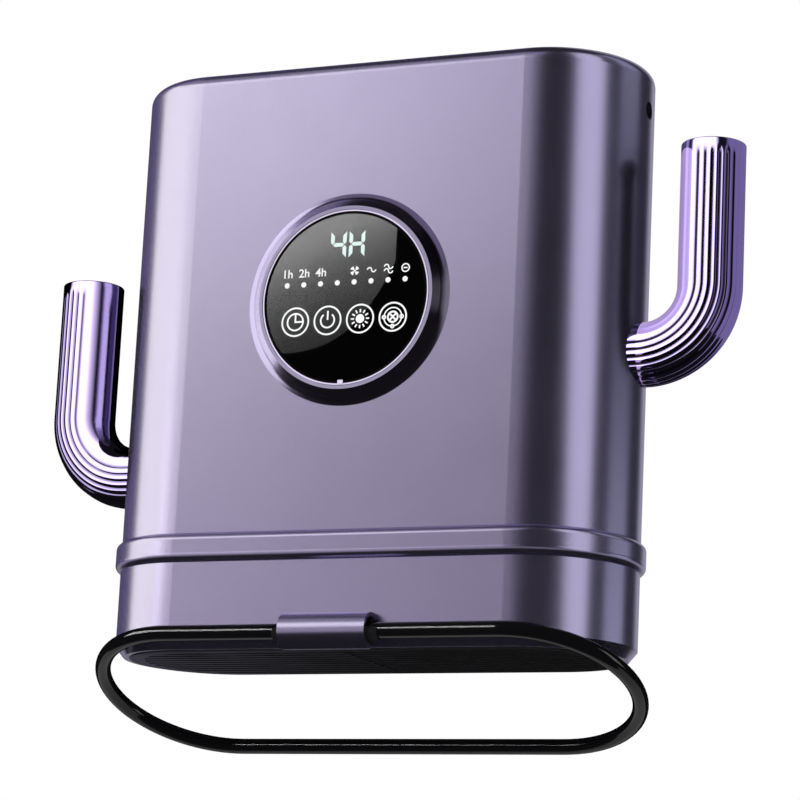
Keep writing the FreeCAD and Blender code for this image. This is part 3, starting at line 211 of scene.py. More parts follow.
# Materials
FLECK_STOPS = (0.35, 0.65)
FLECK_DETAIL = 3.0
SMUDGE_STOPS = (0.3, 0.7)
SMUDGE_DETAIL = 2.0
FOAM_ROUGHNESS = 0.95
FOAM_CELLS = 900.0
FOAM_DARK = (0.03, 0.03, 0.032)
FOAM_PALE = (0.16, 0.16, 0.17)
FOAM_RELIEF = 0.6
LEGEND_BASE = (0.02, 0.02, 0.02)
LEGEND_DIM = 0.9
LEGEND_SCALE = 600.0
LEGEND_STRENGTH = 1.0
LAVENDER = (0.54, 0.49, 0.75)
GREY = (0.16, 0.16, 0.17)
MINT = (0.82, 1.0, 0.95)
WHITE = (1.0, 1.0, 1.0)

# Arms: round ribs side by side over the outer side of an elbow tube, which take the CAD tubes' place
ARM_SHORTER = 2.1
ARM_BEND = 24.9
ARM_BORE = 10.2
ARM_SPIGOT = 11.2
ARM_SEAT = 11.0
ARM_SEAT_DEPTH = 4.0
ARM_FOOT_GAP = 0.05
ARM_FLAG_RADIUS = 8.0
RIB_PITCH = 13.44
RIB_REACH = 8
RIB_DEPTH = 0.45
RIB_STEPS = 8
# Painted shade in the rib valleys. It begins and is full at these shares down a rib's side, and is none within
# the first angle of the outer side and full past the second. Its strength is given for each arm.
GROOVE_SHADE_EDGE = 0.16
GROOVE_SHADE_FULL = 0.48
GROOVE_SHADE_FADE = (22.0, 40.0)
LEFT_GROOVE_SHADE = 0.62
RIGHT_GROOVE_SHADE = 0.98
RIB_FADE_START = 6.5
RIB_FADE_END = 2.5
RIB_FADE_STEPS = 6
RIM_EDGE = 0.6
RIM_STEPS = 4
BEND_STEPS = 30
PLAIN_STEP = 5.0
SHARP_ANGLE = 30.0

# Control panel graphics
GRAPHIC_PROUD = 0.03
GRAPHIC_SUNK = 0.2
GLASS_BEVEL = 0.3
GLASS_BORDER = 0.7
DIGIT_CENTRE = (0.05, 20.6)
DIGIT_WIDTH = 6.5
DIGIT_HEIGHT = 10.1
DIGIT_STROKE = 1.5
DIGIT_GAP = 1.15
SEGMENT_GAP = 0.22
DOT_RISE = 5.65
DOT_PITCH = 6.98
DOT_COUNT = 8
DOT_RADIUS = 1.05
LABEL_RISE = 10.0
LABEL_SIZE = 4.6
LABEL_BOLD = 0.06
LABEL_STROKE = 0.5
KEY_DROP = 8.85
KEY_PITCH = 13.43
KEY_COUNT = 4
KEY_RING_RADIUS = 5.45
KEY_RING_STROKE = 0.68
CLOCK_RADIUS = 3.25
POWER_RADIUS = 2.8
POWER_OPENING = 38.0
SUN_RADIUS = 1.75
SUN_RAYS = 12
SUN_RAY_SPAN = (2.45, 3.75)
SUN_RAY_STROKE = 0.6
WAVE_HUMP = 1.7
WAVE_STEPS = 10
WAVE_APART = 0.85
MINUS_RADIUS = 1.5
MINUS_HALF = 0.8
FIRST_MARK = 4
MARK_STEPS = 28
FAN_RADIUS = 1.85
FAN_TURNS = (20, 110, 200, 290)
FAN_TIP = (0, 52)
FAN_TIP_STEPS = 6
FAN_ROOT = (40, -10)
FAN_ROOT_STEPS = 3
FAN_ROOT_SHARE = 0.3
FAN_CORE_SHARE = 0.22
FAN_CORE_STEPS = 12
STEM_FOOT = 0.2
STEM_RISE = 0.9
FAN_RING_RADIUS = 3.6
FAN_RING_STROKE = 0.5
FAN_HUB_RADIUS = 2.0
FAN_HUB_STROKE = 0.75
FAN_KNOB_RADIUS = 0.7
FAN_KNOB_STROKE = 0.45
FAN_KNOB_TURNS = (0, 180, 270)
FAN_KNOB_STEPS = 16
FAN_SPOKE_TURNS = (45, 135)
RING_STEPS = 48
BORDER_STEPS = 120

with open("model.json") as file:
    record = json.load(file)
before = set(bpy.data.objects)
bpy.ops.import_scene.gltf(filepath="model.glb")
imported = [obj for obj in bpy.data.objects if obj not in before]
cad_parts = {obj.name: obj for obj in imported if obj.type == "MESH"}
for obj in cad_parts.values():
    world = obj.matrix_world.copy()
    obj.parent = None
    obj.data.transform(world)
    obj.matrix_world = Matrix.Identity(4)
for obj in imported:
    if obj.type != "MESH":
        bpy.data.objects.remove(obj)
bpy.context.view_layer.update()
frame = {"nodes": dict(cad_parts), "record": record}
nodes = frame["nodes"]


def heading(azimuth, elevation):
    """Unit vector from the object; azimuth 0 is straight out of the panel, +90 is its right end."""
    a = math.radians(azimuth)
    e = math.radians(elevation)
    return Vector((math.sin(a) * math.cos(e), -math.cos(a) * math.cos(e), math.sin(e)))


def add_camera():
    back = heading(VIEW_AZIMUTH, VIEW_ELEVATION)
    level = back.cross(Vector((0, 0, -1))).normalized()
    upright = back.cross(level)
    roll = math.radians(VIEW_ROLL)
    right = math.cos(roll) * level + math.sin(roll) * upright
    up = math.cos(roll) * upright - math.sin(roll) * level
    turn = Matrix((right, up, back)).transposed().to_4x4()
    data = bpy.data.cameras.new("camera")
    data.sensor_width = SENSOR
    data.lens = FOCAL_PIXELS * SENSOR / IMAGE_PIXELS
    camera = bpy.data.objects.new("camera", data)
    camera.matrix_world = Matrix.Translation(VIEW_TARGET + back * VIEW_DISTANCE) @ turn
    bpy.context.scene.collection.objects.link(camera)
    bpy.context.scene.camera = camera


# Materials

def new_material(name):
    """Material with a Principled shader; returns it with its node tree and shader node."""
    material = bpy.data.materials.new(name)
    material.use_nodes = True
    tree = material.node_tree
    return material, tree, tree.nodes["Principled BSDF"]


def noise(tree, scale, detail):
    """Noise over the object's own coordinates, in cycles per metre."""
    place = tree.nodes.new("ShaderNodeTexCoord")
    texture = tree.nodes.new("ShaderNodeTexNoise")
    texture.inputs["Scale"].default_value = scale
    texture.inputs["Detail"].default_value = detail
    tree.links.new(place.outputs["Object"], texture.inputs["Vector"])
    return texture.outputs["Fac"]


def shade(colour, factor):
    """Colour made lighter or darker, with full opacity."""
    return tuple(min(c * factor, 1.0) for c in colour) + (1.0,)


def mottle(tree, shader, colour, spread, scale):
    """Base colour that varies a little, as flakes, grain or dust make it."""
    ramp = tree.nodes.new("ShaderNodeValToRGB")
    for element, position, factor in zip(ramp.color_ramp.elements, FLECK_STOPS, (1 - spread, 1 + spread)):
        element.position = position
        element.color = shade(colour, factor)
    tree.links.new(noise(tree, scale, FLECK_DETAIL), ramp.inputs["Fac"])
    tree.links.new(ramp.outputs["Color"], shader.inputs["Base Color"])


def vary_roughness(tree, shader, low, high, scale):
    reach = tree.nodes.new("ShaderNodeMapRange")
    reach.inputs["From Min"].default_value = SMUDGE_STOPS[0]
    reach.inputs["From Max"].default_value = SMUDGE_STOPS[1]
    reach.inputs["To Min"].default_value = low
    reach.inputs["To Max"].default_value = high
    tree.links.new(noise(tree, scale, SMUDGE_DETAIL), reach.inputs["Value"])
    tree.links.new(reach.outputs["Result"], shader.inputs["Roughness"])


def grain(tree, shader, scale, height):
    """Fine relief of a moulded, painted or plated face; height in millimetres."""
    bump = tree.nodes.new("ShaderNodeBump")
    bump.inputs["Strength"].default_value = 1.0
    bump.inputs["Distance"].default_value = height * MM
    tree.links.new(noise(tree, scale, SMUDGE_DETAIL), bump.inputs["Height"])
    tree.links.new(bump.outputs["Normal"], shader.inputs["Normal"])


def finish(name, colour, roughness, metallic=0.0, flake=0.04, flake_scale=2500.0, smudge_scale=45.0,
           relief=0.0008, relief_scale=900.0, ior=1.5):
    """Opaque surface with colour flecks, uneven gloss and fine relief."""
    material, tree, shader = new_material(name)
    shader.inputs["Metallic"].default_value = metallic
    shader.inputs["IOR"].default_value = ior
    mottle(tree, shader, colour, flake, flake_scale)
    vary_roughness(tree, shader, roughness[0], roughness[1], smudge_scale)
    grain(tree, shader, relief_scale, relief)
    return material


def paint_groove_shade(material):
    """Painted shade: darken a finish's colour by how deep in a rib valley the mesh says that a point lies, in
    place of the shade that falls in the valleys.
    """
    tree = material.node_tree
    shader = tree.nodes["Principled BSDF"]
    colour = shader.inputs["Base Color"].links[0].from_socket
    groove_shade = tree.nodes.new("ShaderNodeAttribute")
    groove_shade.attribute_name = "groove_shade"
    left = tree.nodes.new("ShaderNodeMath")
    left.operation = "SUBTRACT"
    left.inputs[0].default_value = 1.0
    tree.links.new(groove_shade.outputs["Fac"], left.inputs[1])
    scaled = tree.nodes.new("ShaderNodeVectorMath")
    scaled.operation = "SCALE"
    tree.links.new(colour, scaled.inputs["Vector"])
    tree.links.new(left.outputs["Value"], scaled.inputs["Scale"])
    tree.links.new(scaled.outputs["Vector"], shader.inputs["Base Color"])


def foam_material():
    """Open-cell filter foam."""
    material, tree, shader = new_material("filter_foam")
    shader.inputs["Roughness"].default_value = FOAM_ROUGHNESS
    place = tree.nodes.new("ShaderNodeTexCoord")
    cells = tree.nodes.new("ShaderNodeTexVoronoi")
    cells.inputs["Scale"].default_value = FOAM_CELLS
    tree.links.new(place.outputs["Object"], cells.inputs["Vector"])
    ramp = tree.nodes.new("ShaderNodeValToRGB")
    ramp.color_ramp.elements[0].color = shade(FOAM_DARK, 1.0)
    ramp.color_ramp.elements[1].color = shade(FOAM_PALE, 1.0)
    tree.links.new(cells.outputs["Distance"], ramp.inputs["Fac"])
    tree.links.new(ramp.outputs["Color"], shader.inputs["Base Color"])
    bump = tree.nodes.new("ShaderNodeBump")
    bump.inputs["Distance"].default_value = FOAM_RELIEF * MM
    tree.links.new(cells.outputs["Distance"], bump.inputs["Height"])
    tree.links.new(bump.outputs["Normal"], shader.inputs["Normal"])
    return material


def light_material(name, colour):
    """Lit legend under the glass, a little uneven as a diffuser is."""
    material, tree, shader = new_material(name)
    shader.inputs["Base Color"].default_value = shade(LEGEND_BASE, 1.0)
    shader.inputs["Emission Strength"].default_value = LEGEND_STRENGTH
    ramp = tree.nodes.new("ShaderNodeValToRGB")
    ramp.color_ramp.elements[0].color = shade(colour, LEGEND_DIM)
    ramp.color_ramp.elements[1].color = shade(colour, 1.0)
    tree.links.new(noise(tree, LEGEND_SCALE, SMUDGE_DETAIL), ramp.inputs["Fac"])
    tree.links.new(ramp.outputs["Color"], shader.inputs["Emission Color"])
    return material


def slot_materials():
    """One material for each slot of the record."""
    paint = finish("lavender_paint", LAVENDER, (0.245, 0.26), metallic=0.98)
    return {
        "casing": paint,
        "casing_back": paint,
        # The arms darken this colour in their rib valleys as painted shade.
        "plated": finish("violet_plating", (0.62, 0.52, 0.92), (0.04, 0.075), metallic=1.0, flake=0.015,
                         relief=0.00012, relief_scale=500.0),
        "bezel": finish("bezel_plating", (0.62, 0.56, 0.8), (0.17, 0.21), metallic=1.0, flake=0.02,
                        relief=0.0003),
        "black_plastic": finish("black_moulding", (0.02, 0.02, 0.022), (0.38, 0.46), flake=0.15,
                                relief=0.002, relief_scale=2200.0),
        "lens": finish("black_lens", (0.002, 0.002, 0.0025), (0.004, 0.012), flake=0.1, relief=0.00001,
                       relief_scale=200.0, ior=2.06),
        "wire": finish("black_coating", (0.006, 0.006, 0.007), (0.07, 0.09), flake=0.12, relief=0.0001,
                       relief_scale=700.0),
        "clip_rubber": finish("black_rubber", (0.018, 0.018, 0.018), (0.5, 0.62), flake=0.2, relief=0.01,
                              relief_scale=1800.0),
        "gasket_rubber": finish("grey_rubber", (0.1, 0.1, 0.11), (0.6, 0.7), flake=0.15, relief=0.01),
        "hose_rubber": finish("hose_rubber", GREY, (0.5, 0.6), flake=0.12, relief=0.008),
        "light_plastic": finish("natural_plastic", (0.8, 0.8, 0.78), (0.4, 0.5), flake=0.03, relief=0.003),
        "duct_plastic": finish("duct_plastic", GREY, (0.45, 0.55), flake=0.1, relief=0.006),
        "board": finish("board_laminate", (0.05, 0.25, 0.12), (0.35, 0.45), flake=0.12, flake_scale=700.0),
        "component": finish("component_case", (0.05, 0.05, 0.06), (0.3, 0.4), flake=0.1, relief=0.004),
        "steel": finish("plain_steel", (0.62, 0.62, 0.64), (0.25, 0.38), metallic=1.0, flake=0.05),
        "pin_brass": finish("pin_brass", (0.8, 0.68, 0.36), (0.18, 0.28), metallic=1.0, flake=0.04),
        "fin_alu": finish("fin_aluminium", (0.78, 0.78, 0.8), (0.3, 0.42), metallic=1.0, flake=0.05),
        "filter": foam_material(),
    }


def dress_nodes(finishes):
    """Give each CAD node the material of its slot."""
    for part in frame["record"]["subparts"]:
        node = nodes[part["node"]]
        node.data.materials.clear()
        node.data.materials.append(finishes[part["material_slot"]])


# Flat outlines of the panel graphics, as (across, up) points in millimetres

def ring_points(centre, radius, start, end, count):
    """Points along an arc, from start to end in degrees, 0 to the right and 90 up."""
    steps = [math.radians(start + (end - start) * i / count) for i in range(count + 1)]
    return [(centre[0] + radius * math.cos(a), centre[1] + radius * math.sin(a)) for a in steps]


def disc(centre, radius, count=MARK_STEPS):
    return [ring_points(centre, radius, 0, 360, count)[:-1]]


def band(centre, radius, stroke, start=0, end=360, count=RING_STEPS):
    """Curved stroke, as a row of four-sided outlines."""
    inner = ring_points(centre, radius - stroke / 2, start, end, count)
    outer = ring_points(centre, radius + stroke / 2, start, end, count)
    return [[inner[i], outer[i], outer[i + 1], inner[i + 1]] for i in range(count)]


def bar(start, end, stroke):
    """Straight stroke between two points."""
    along = Vector((end[0] - start[0], end[1] - start[1])).normalized() * (stroke / 2)
    side = (-along.y, along.x)
    return [[(start[0] + side[0], start[1] + side[1]), (start[0] - side[0], start[1] - side[1]),
             (end[0] - side[0], end[1] - side[1]), (end[0] + side[0], end[1] + side[1])]]


def moved(outlines, offset):
    return [[(x + offset[0], y + offset[1]) for x, y in outline] for outline in outlines]


def offsets(count, pitch):
    """Evenly pitched places centred on zero."""
    return [(i - (count - 1) / 2) * pitch for i in range(count)]


def segment_upright(right, top):
    """Upright stroke of a seven-segment figure, in one of its four corners."""
    half = DIGIT_HEIGHT / 2
    foot = DIGIT_STROKE / 2 + SEGMENT_GAP
    outline = [(0, half), (DIGIT_STROKE, half - DIGIT_STROKE), (DIGIT_STROKE, foot),
               (DIGIT_STROKE / 2, SEGMENT_GAP), (0, foot)]
    return [[(DIGIT_WIDTH - x if right else x, y if top else -y) for x, y in outline]]


def segment_middle():
    half = DIGIT_STROKE / 2
    near = half + SEGMENT_GAP
    far = DIGIT_WIDTH - near
    return [[(near, 0), (near + half, half), (far - half, half), (far, 0), (far - half, -half),
             (near + half, -half)]]


def digit_outlines():
    """The display's two figures: a four and an H."""
    four = segment_upright(False, True) + segment_upright(True, True) + segment_upright(True, False)
    letter = four + segment_upright(False, False)
    left = DIGIT_CENTRE[0] - DIGIT_WIDTH - DIGIT_GAP / 2
    right = DIGIT_CENTRE[0] + DIGIT_GAP / 2
    return (moved(four + segment_middle(), (left, DIGIT_CENTRE[1]))
            + moved(letter + segment_middle(), (right, DIGIT_CENTRE[1])))


def dot_outlines():
    return [disc((x, DOT_RISE), DOT_RADIUS)[0] for x in offsets(DOT_COUNT, DOT_PITCH)]


def fan_mark(radius):
    """Four swept blades round a hub."""
    blades = []
    for turn in FAN_TURNS:
        tip = [turn + degrees for degrees in FAN_TIP]
        root = [turn + degrees for degrees in FAN_ROOT]
        blades.append(ring_points((0, 0), radius, *tip, FAN_TIP_STEPS)
                      + ring_points((0, 0), radius * FAN_ROOT_SHARE, *root, FAN_ROOT_STEPS))
    return blades + disc((0, 0), radius * FAN_CORE_SHARE, FAN_CORE_STEPS)


def wave(rise):
    """Rising warm air, as one flat wave."""
    hump = LABEL_STROKE * WAVE_HUMP
    return (band((-hump, rise), hump, LABEL_STROKE, 0, 180, WAVE_STEPS)
            + band((hump, rise), hump, LABEL_STROKE, 180, 360, WAVE_STEPS))


def label_marks():
    """Marks over the last four lights: fan, one wave, two waves, and a minus in a circle."""
    places = offsets(DOT_COUNT, DOT_PITCH)[FIRST_MARK:]
    minus = (band((0, 0), MINUS_RADIUS, LABEL_STROKE, count=MARK_STEPS)
             + bar((-MINUS_HALF, 0), (MINUS_HALF, 0), LABEL_STROKE))
    marks = (fan_mark(FAN_RADIUS), wave(0), wave(WAVE_APART) + wave(-WAVE_APART), minus)
    outlines = []
    for x, mark in zip(places, marks):
        outlines += moved(mark, (x, LABEL_RISE))
    return outlines


def clock_mark():
    reach = CLOCK_RADIUS
    return (band((0, 0), reach, KEY_RING_STROKE) + bar((0, -KEY_RING_STROKE / 2), (0, reach), KEY_RING_STROKE)
            + bar((0, 0), (reach, 0), KEY_RING_STROKE))


def power_mark():
    ring = band((0, 0), POWER_RADIUS, KEY_RING_STROKE, 90 + POWER_OPENING, 450 - POWER_OPENING)
    return ring + bar((0, STEM_FOOT), (0, POWER_RADIUS + STEM_RISE), KEY_RING_STROKE)


def sun_mark():
    rays = []
    for i in range(SUN_RAYS):
        a = math.radians(i * 360 / SUN_RAYS)
        ends = [(r * math.cos(a), r * math.sin(a)) for r in SUN_RAY_SPAN]
        rays += bar(ends[0], ends[1], SUN_RAY_STROKE)
    return disc((0, 0), SUN_RADIUS) + rays


def fan_key_mark():
    """Ring with three knobs round a hub with four windows."""
    outlines = (band((0, 0), FAN_RING_RADIUS, FAN_RING_STROKE)
                + band((0, 0), FAN_HUB_RADIUS, FAN_HUB_STROKE))
    for degrees in FAN_KNOB_TURNS:
        knob = ring_points((0, 0), FAN_RING_RADIUS, degrees, degrees, 1)[0]
        outlines += band(knob, FAN_KNOB_RADIUS, FAN_KNOB_STROKE, count=FAN_KNOB_STEPS)
    for degrees in FAN_SPOKE_TURNS:
        start, end = ring_points((0, 0), FAN_HUB_RADIUS, degrees, degrees + 180, 1)
        outlines += bar(start, end, FAN_HUB_STROKE)
    return outlines


def key_outlines():
    outlines = []
    marks = (clock_mark(), power_mark(), sun_mark(), fan_key_mark())
    for x, mark in zip(offsets(KEY_COUNT, KEY_PITCH), marks):
        outlines += moved(band((0, 0), KEY_RING_RADIUS, KEY_RING_STROKE) + mark, (x, -KEY_DROP))
    return outlines


def panel_place():
    """Middle of the glass's front face, in metres."""
    low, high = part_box("panel_glass")
    return Vector(((low.x + high.x) / 2, low.y, (low.z + high.z) / 2))


def add_piece(piece, material):
    """Put a finished piece on the housing."""
    piece.data.materials.clear()
    piece.data.materials.append(material)
    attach(piece, "housing")


def add_graphic(name, outlines, material):
    """Thin print or lit legend made of flat outlines, set in the face of the glass."""
    place = panel_place()
    mesh = bmesh.new()
    for outline in outlines:
        rims = []
        for depth in (-GRAPHIC_PROUD, GRAPHIC_SUNK):
            rims.append([mesh.verts.new(place + Vector((x, depth, z)) * MM) for x, z in outline])
        front, back = rims
        mesh.faces.new(front)
        mesh.faces.new(list(reversed(back)))
        for i in range(len(front)):
            j = (i + 1) % len(front)
            mesh.faces.new((front[i], back[i], back[j], front[j]))
    bmesh.ops.recalc_face_normals(mesh, faces=mesh.faces)
    data = bpy.data.meshes.new(name)
    mesh.to_mesh(data)
    mesh.free()
    piece = bpy.data.objects.new(name, data)
    bpy.context.scene.collection.objects.link(piece)
    add_piece(piece, material)


def add_hour_label(name, text, across, material):
    """Hour figure over one of the first lights."""
    curve = bpy.data.curves.new(name, "FONT")
    curve.body = text
    curve.size = LABEL_SIZE * MM
    curve.align_x = "CENTER"
    curve.align_y = "CENTER"
    curve.extrude = GRAPHIC_SUNK / 2 * MM
    curve.offset = LABEL_BOLD * MM
    source = bpy.data.objects.new(name + "_text", curve)
    bpy.context.scene.collection.objects.link(source)
    bpy.context.view_layer.update()
    data = bpy.data.meshes.new_from_object(source.evaluated_get(bpy.context.evaluated_depsgraph_get()))
    bpy.data.objects.remove(source)
    upright = Matrix.Rotation(math.radians(90), 4, "X")
    place = panel_place() + Vector((across, GRAPHIC_SUNK / 2 - GRAPHIC_PROUD, LABEL_RISE)) * MM
    data.transform(Matrix.Translation(place) @ upright)
    data.name = name
    piece = bpy.data.objects.new(name, data)
    bpy.context.scene.collection.objects.link(piece)
    add_piece(piece, material)


def add_panel_graphics():
    mint = light_material("mint_light", MINT)
    white = light_material("white_light", WHITE)
    add_graphic("display_figures", digit_outlines(), mint)
    add_graphic("indicator_dots", dot_outlines(), white)
    add_graphic("indicator_marks", label_marks(), white)
    add_graphic("key_marks", key_outlines(), white)
    for text, across in zip(("1h", "2h", "4h"), offsets(DOT_COUNT, DOT_PITCH)):
        add_hour_label("label_" + text, text, across, white)
    low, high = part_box("panel_glass")
    edge = (high.x - low.x) / 2 / MM - GLASS_BEVEL
    matt = finish("black_print", (0.004, 0.004, 0.004), (0.7, 0.8), flake=0.2)
    border = band((0, 0), edge - GLASS_BORDER / 2, GLASS_BORDER, count=BORDER_STEPS)
    add_graphic("glass_border", border, matt)


# Arms

def rib_angles():
    """Angles round an arm from its outer side: close steps over the ribs, wide ones over the plain side."""
    edge = RIB_REACH * RIB_PITCH
    rib_count = 2 * RIB_REACH * RIB_STEPS
    plain_count = round((360 - 2 * edge) / PLAIN_STEP)
    ribbed = [edge * (2 * i / rib_count - 1) for i in range(rib_count + 1)]
    return ribbed + [edge + (360 - 2 * edge) * i / plain_count for i in range(1, plain_count)]


def rib_drop(angle):
    """How far down a rib's side an angle lies: 0 on a crest, 1 in a valley."""
    turn = angle / RIB_PITCH
    return (2 * (turn - round(turn))) ** 2 if abs(turn) < RIB_REACH else 0.0


def painted_groove_shade(angle):
    """Share of painted shade in a rib's valley at an angle; none along the outermost side."""
    return ease(rib_drop(angle), GROOVE_SHADE_EDGE, GROOVE_SHADE_FULL) * ease(abs(angle), *GROOVE_SHADE_FADE)


def arm_section(centre, outer, radius, ribbed=0.0):
    """Ring of (point, painted valley shade) round an arm, square to its run; outer points to the ribbed side.
    """
    ring = []
    for angle in rib_angles():
        a = math.radians(angle)
        reach = radius - ribbed * RIB_DEPTH * rib_drop(angle)
        point = centre + reach * (math.cos(a) * outer - math.sin(a) * Vector((0, 1, 0)))
        ring.append((point, ribbed * painted_groove_shade(angle)))
    return ring


def on_wall(ring, side):
    """Ring of points slid along x onto the casing's round end."""
    low, high = (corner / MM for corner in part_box("main_housing"))
    end = (high.y - low.y) / 2
    straight = high.x - end
    moved_ring = []
    for point, groove_shade in ring:
        across = straight + math.sqrt(end ** 2 - point.y ** 2) + ARM_FOOT_GAP
        moved_ring.append((Vector((side * across, point.y, point.z)), groove_shade))
    return moved_ring


def arm_rings(side, low, high):
    """Rings of an arm from its foot on the casing over the rim and back down the bore to the spigot."""
    radius = (high.y - low.y) / 2
    up = Vector((0, 0, 1))
    out = Vector((side, 0, 0))
    level = low.z + radius
    top = high.z - ARM_SHORTER
    seat = high.z - ARM_SEAT_DEPTH
    upright = (high.x if side > 0 else low.x) - side * radius
    spigot = Vector((low.x if side > 0 else high.x, 0, level))
    heart = Vector((upright - side * ARM_BEND, 0, level + ARM_BEND))

    def at(height, reach, ribbed=0.0):
        return arm_section(Vector((upright, 0, height)), out, reach, ribbed)

    def bend(share, reach, ribbed=0.0):
        turn = math.radians(90 * share)
        outer = math.sin(turn) * out - math.cos(turn) * up
        return arm_section(heart + ARM_BEND * outer, outer, reach, ribbed)

    rings = [on_wall(bend(0, radius, 1.0), side)]
    rings += [bend(i / BEND_STEPS, radius, 1.0) for i in range(BEND_STEPS + 1)]
    for i in range(RIB_FADE_STEPS + 1):
        share = i / RIB_FADE_STEPS
        height = top - RIB_FADE_START + (RIB_FADE_START - RIB_FADE_END) * share
        rings.append(at(height, radius, 1 - share ** 2 * (3 - 2 * share)))
    for i in range(RIM_STEPS + 1):
        turn = math.radians(90 * i / RIM_STEPS)
        rings.append(at(top - RIM_EDGE * (1 - math.sin(turn)), radius - RIM_EDGE * (1 - math.cos(turn))))
    rings += [at(top, ARM_SEAT), at(seat, ARM_SEAT), at(seat, ARM_BORE)]
    rings += [bend(1 - i / BEND_STEPS, ARM_BORE) for i in range(BEND_STEPS + 1)]
    rings += [arm_section(spigot, -up, ARM_BORE), arm_section(spigot, -up, ARM_SPIGOT)]
    rings.append(on_wall(bend(0, ARM_SPIGOT), side))
    flag = [bend(i / BEND_STEPS, ARM_FLAG_RADIUS) for i in range(BEND_STEPS + 1)]
    return rings, flag + [at(seat, ARM_FLAG_RADIUS)]


def skin(name, rings, closed, shade_strength=0.0):
    """Mesh object over rings of (point in millimetres, painted valley shade), each joined to the next; the
    shade, times the strength given, is stored on the points.
    """
    mesh = bmesh.new()
    layer = mesh.verts.layers.float.new("groove_shade")
    loops = []
    for ring in rings:
        loops.append([])
        for point, groove_shade in ring:
            vert = mesh.verts.new(point * MM)
            vert[layer] = groove_shade * shade_strength
            loops[-1].append(vert)
    pairs = list(zip(loops, loops[1:])) + ([(loops[-1], loops[0])] if closed else [])
    for first, second in pairs:
        for i in range(len(first)):
            j = (i + 1) % len(first)
            mesh.faces.new((first[i], first[j], second[j], second[i]))
    bmesh.ops.recalc_face_normals(mesh, faces=mesh.faces)
    for face in mesh.faces:
        face.smooth = True
    for edge in mesh.edges:
        edge.smooth = edge.is_boundary or edge.calc_face_angle() < math.radians(SHARP_ANGLE)
    data = bpy.data.meshes.new(name)
    mesh.to_mesh(data)
    mesh.free()
    tube = bpy.data.objects.new(name, data)
    bpy.context.scene.collection.objects.link(tube)
    return tube


def add_arms(plating):
    """Ribbed arms, with painted shade in their rib valleys, in place of the CAD's plain-grooved ones. The
    casing mirrors a dark core in place of each arm, because the light that the arms alone take would show in
    it."""
    arms = []
    # The plating's colour takes painted shade in the rib valleys.
    paint_groove_shade(plating)
    for node, side, shade_strength in (("left_arm", -1, LEFT_GROOVE_SHADE), ("right_arm", 1, RIGHT_GROOVE_SHADE)):
        low, high = (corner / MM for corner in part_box(node))
        rings, flag_rings = arm_rings(side, low, high)
        arm = skin(node + "_tube", rings, True, shade_strength)
        add_piece(arm, plating)
        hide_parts(node)
        arm.visible_glossy = False
        arms.append(arm)
        flag = skin(node + "_flag", flag_rings, False)
        flag.data.materials.append(emitter(node + "_flag", 0.0))
        reflection_only(flag)
    return arms


# Studio

def emitter(name, level):
    """Even grey light of a reflector."""
    material = bpy.data.materials.new(name)
    material.use_nodes = True
    tree = material.node_tree
    tree.nodes.clear()
    light = tree.nodes.new("ShaderNodeEmission")
    light.inputs["Strength"].default_value = level
    output = tree.nodes.new("ShaderNodeOutputMaterial")
    tree.links.new(light.outputs["Emission"], output.inputs["Surface"])
    return material


def toned_emitter(name, clear):
    """Light in the colours stored on a reflector's points; a clear one also shows what is behind it."""
    material = emitter(name, 1.0)
    tree = material.node_tree
    light = tree.nodes["Emission"]
    tone = tree.nodes.new("ShaderNodeAttribute")
    tone.attribute_name = "tone"
    tree.links.new(tone.outputs["Color"], light.inputs["Color"])
    if clear:
        through = tree.nodes.new("ShaderNodeBsdfTransparent")
        both = tree.nodes.new("ShaderNodeAddShader")
        tree.links.new(light.outputs["Emission"], both.inputs[0])
        tree.links.new(through.outputs["BSDF"], both.inputs[1])
        tree.links.new(both.outputs["Shader"], tree.nodes["Material Output"].inputs["Surface"])
    return material


def reflection_only(card):
    """Leave a card out of everything but reflections."""
    card.visible_camera = False
    card.visible_diffuse = False
    card.visible_transmission = False
    card.visible_volume_scatter = False
    card.visible_shadow = False


def light_for(card, objects, state="INCLUDE"):
    """Let a card light only these objects, or all but these."""
    group = bpy.data.collections.new(card.name + "_receivers")
    for item in objects:
        group.objects.link(item)
    for entry in group.collection_objects:
        entry.light_linking.link_state = state
    card.light_linking.receiver_collection = group


def add_card(name, columns, tones, clear=True):
    """Reflector between neighbouring columns of points, with a colour of light at each point."""
    rows = len(columns[0])
    points = [point for column in columns for point in column]
    faces = []
    for i in range(len(columns) - 1):
        for j in range(rows - 1):
            first = i * rows + j
            faces.append((first, first + rows, first + rows + 1, first + 1))
    data = bpy.data.meshes.new(name)
    data.from_pydata(points, [], faces)
    attribute = data.attributes.new("tone", "FLOAT_COLOR", "POINT")
    flat = [value for column in tones for tone in column for value in (*tone, 1.0)]
    attribute.data.foreach_set("color", flat)
    data.materials.append(toned_emitter(name, clear))
    card = bpy.data.objects.new(name, data)
    bpy.context.scene.collection.objects.link(card)
    reflection_only(card)
    return card


def wall_point(radius, azimuth, height):
    a = math.radians(azimuth)
    return Vector((radius * math.sin(a), -radius * math.cos(a), height))


def wall_height(radius, elevation):
    return STUDIO_MIDDLE.z + radius * math.tan(math.radians(elevation))


def mix(first, second, share):
    """Colour part of the way from the first to the second."""
    return tuple(a + (b - a) * share for a, b in zip(first, second))


def blend_stops(stops, azimuth):
    """Colour of a wall's light at an azimuth."""
    for (start, first), (end, second) in zip(stops, stops[1:]):
        if azimuth <= end:
            return mix(first, second, (azimuth - start) / (end - start))
    return stops[-1][1]


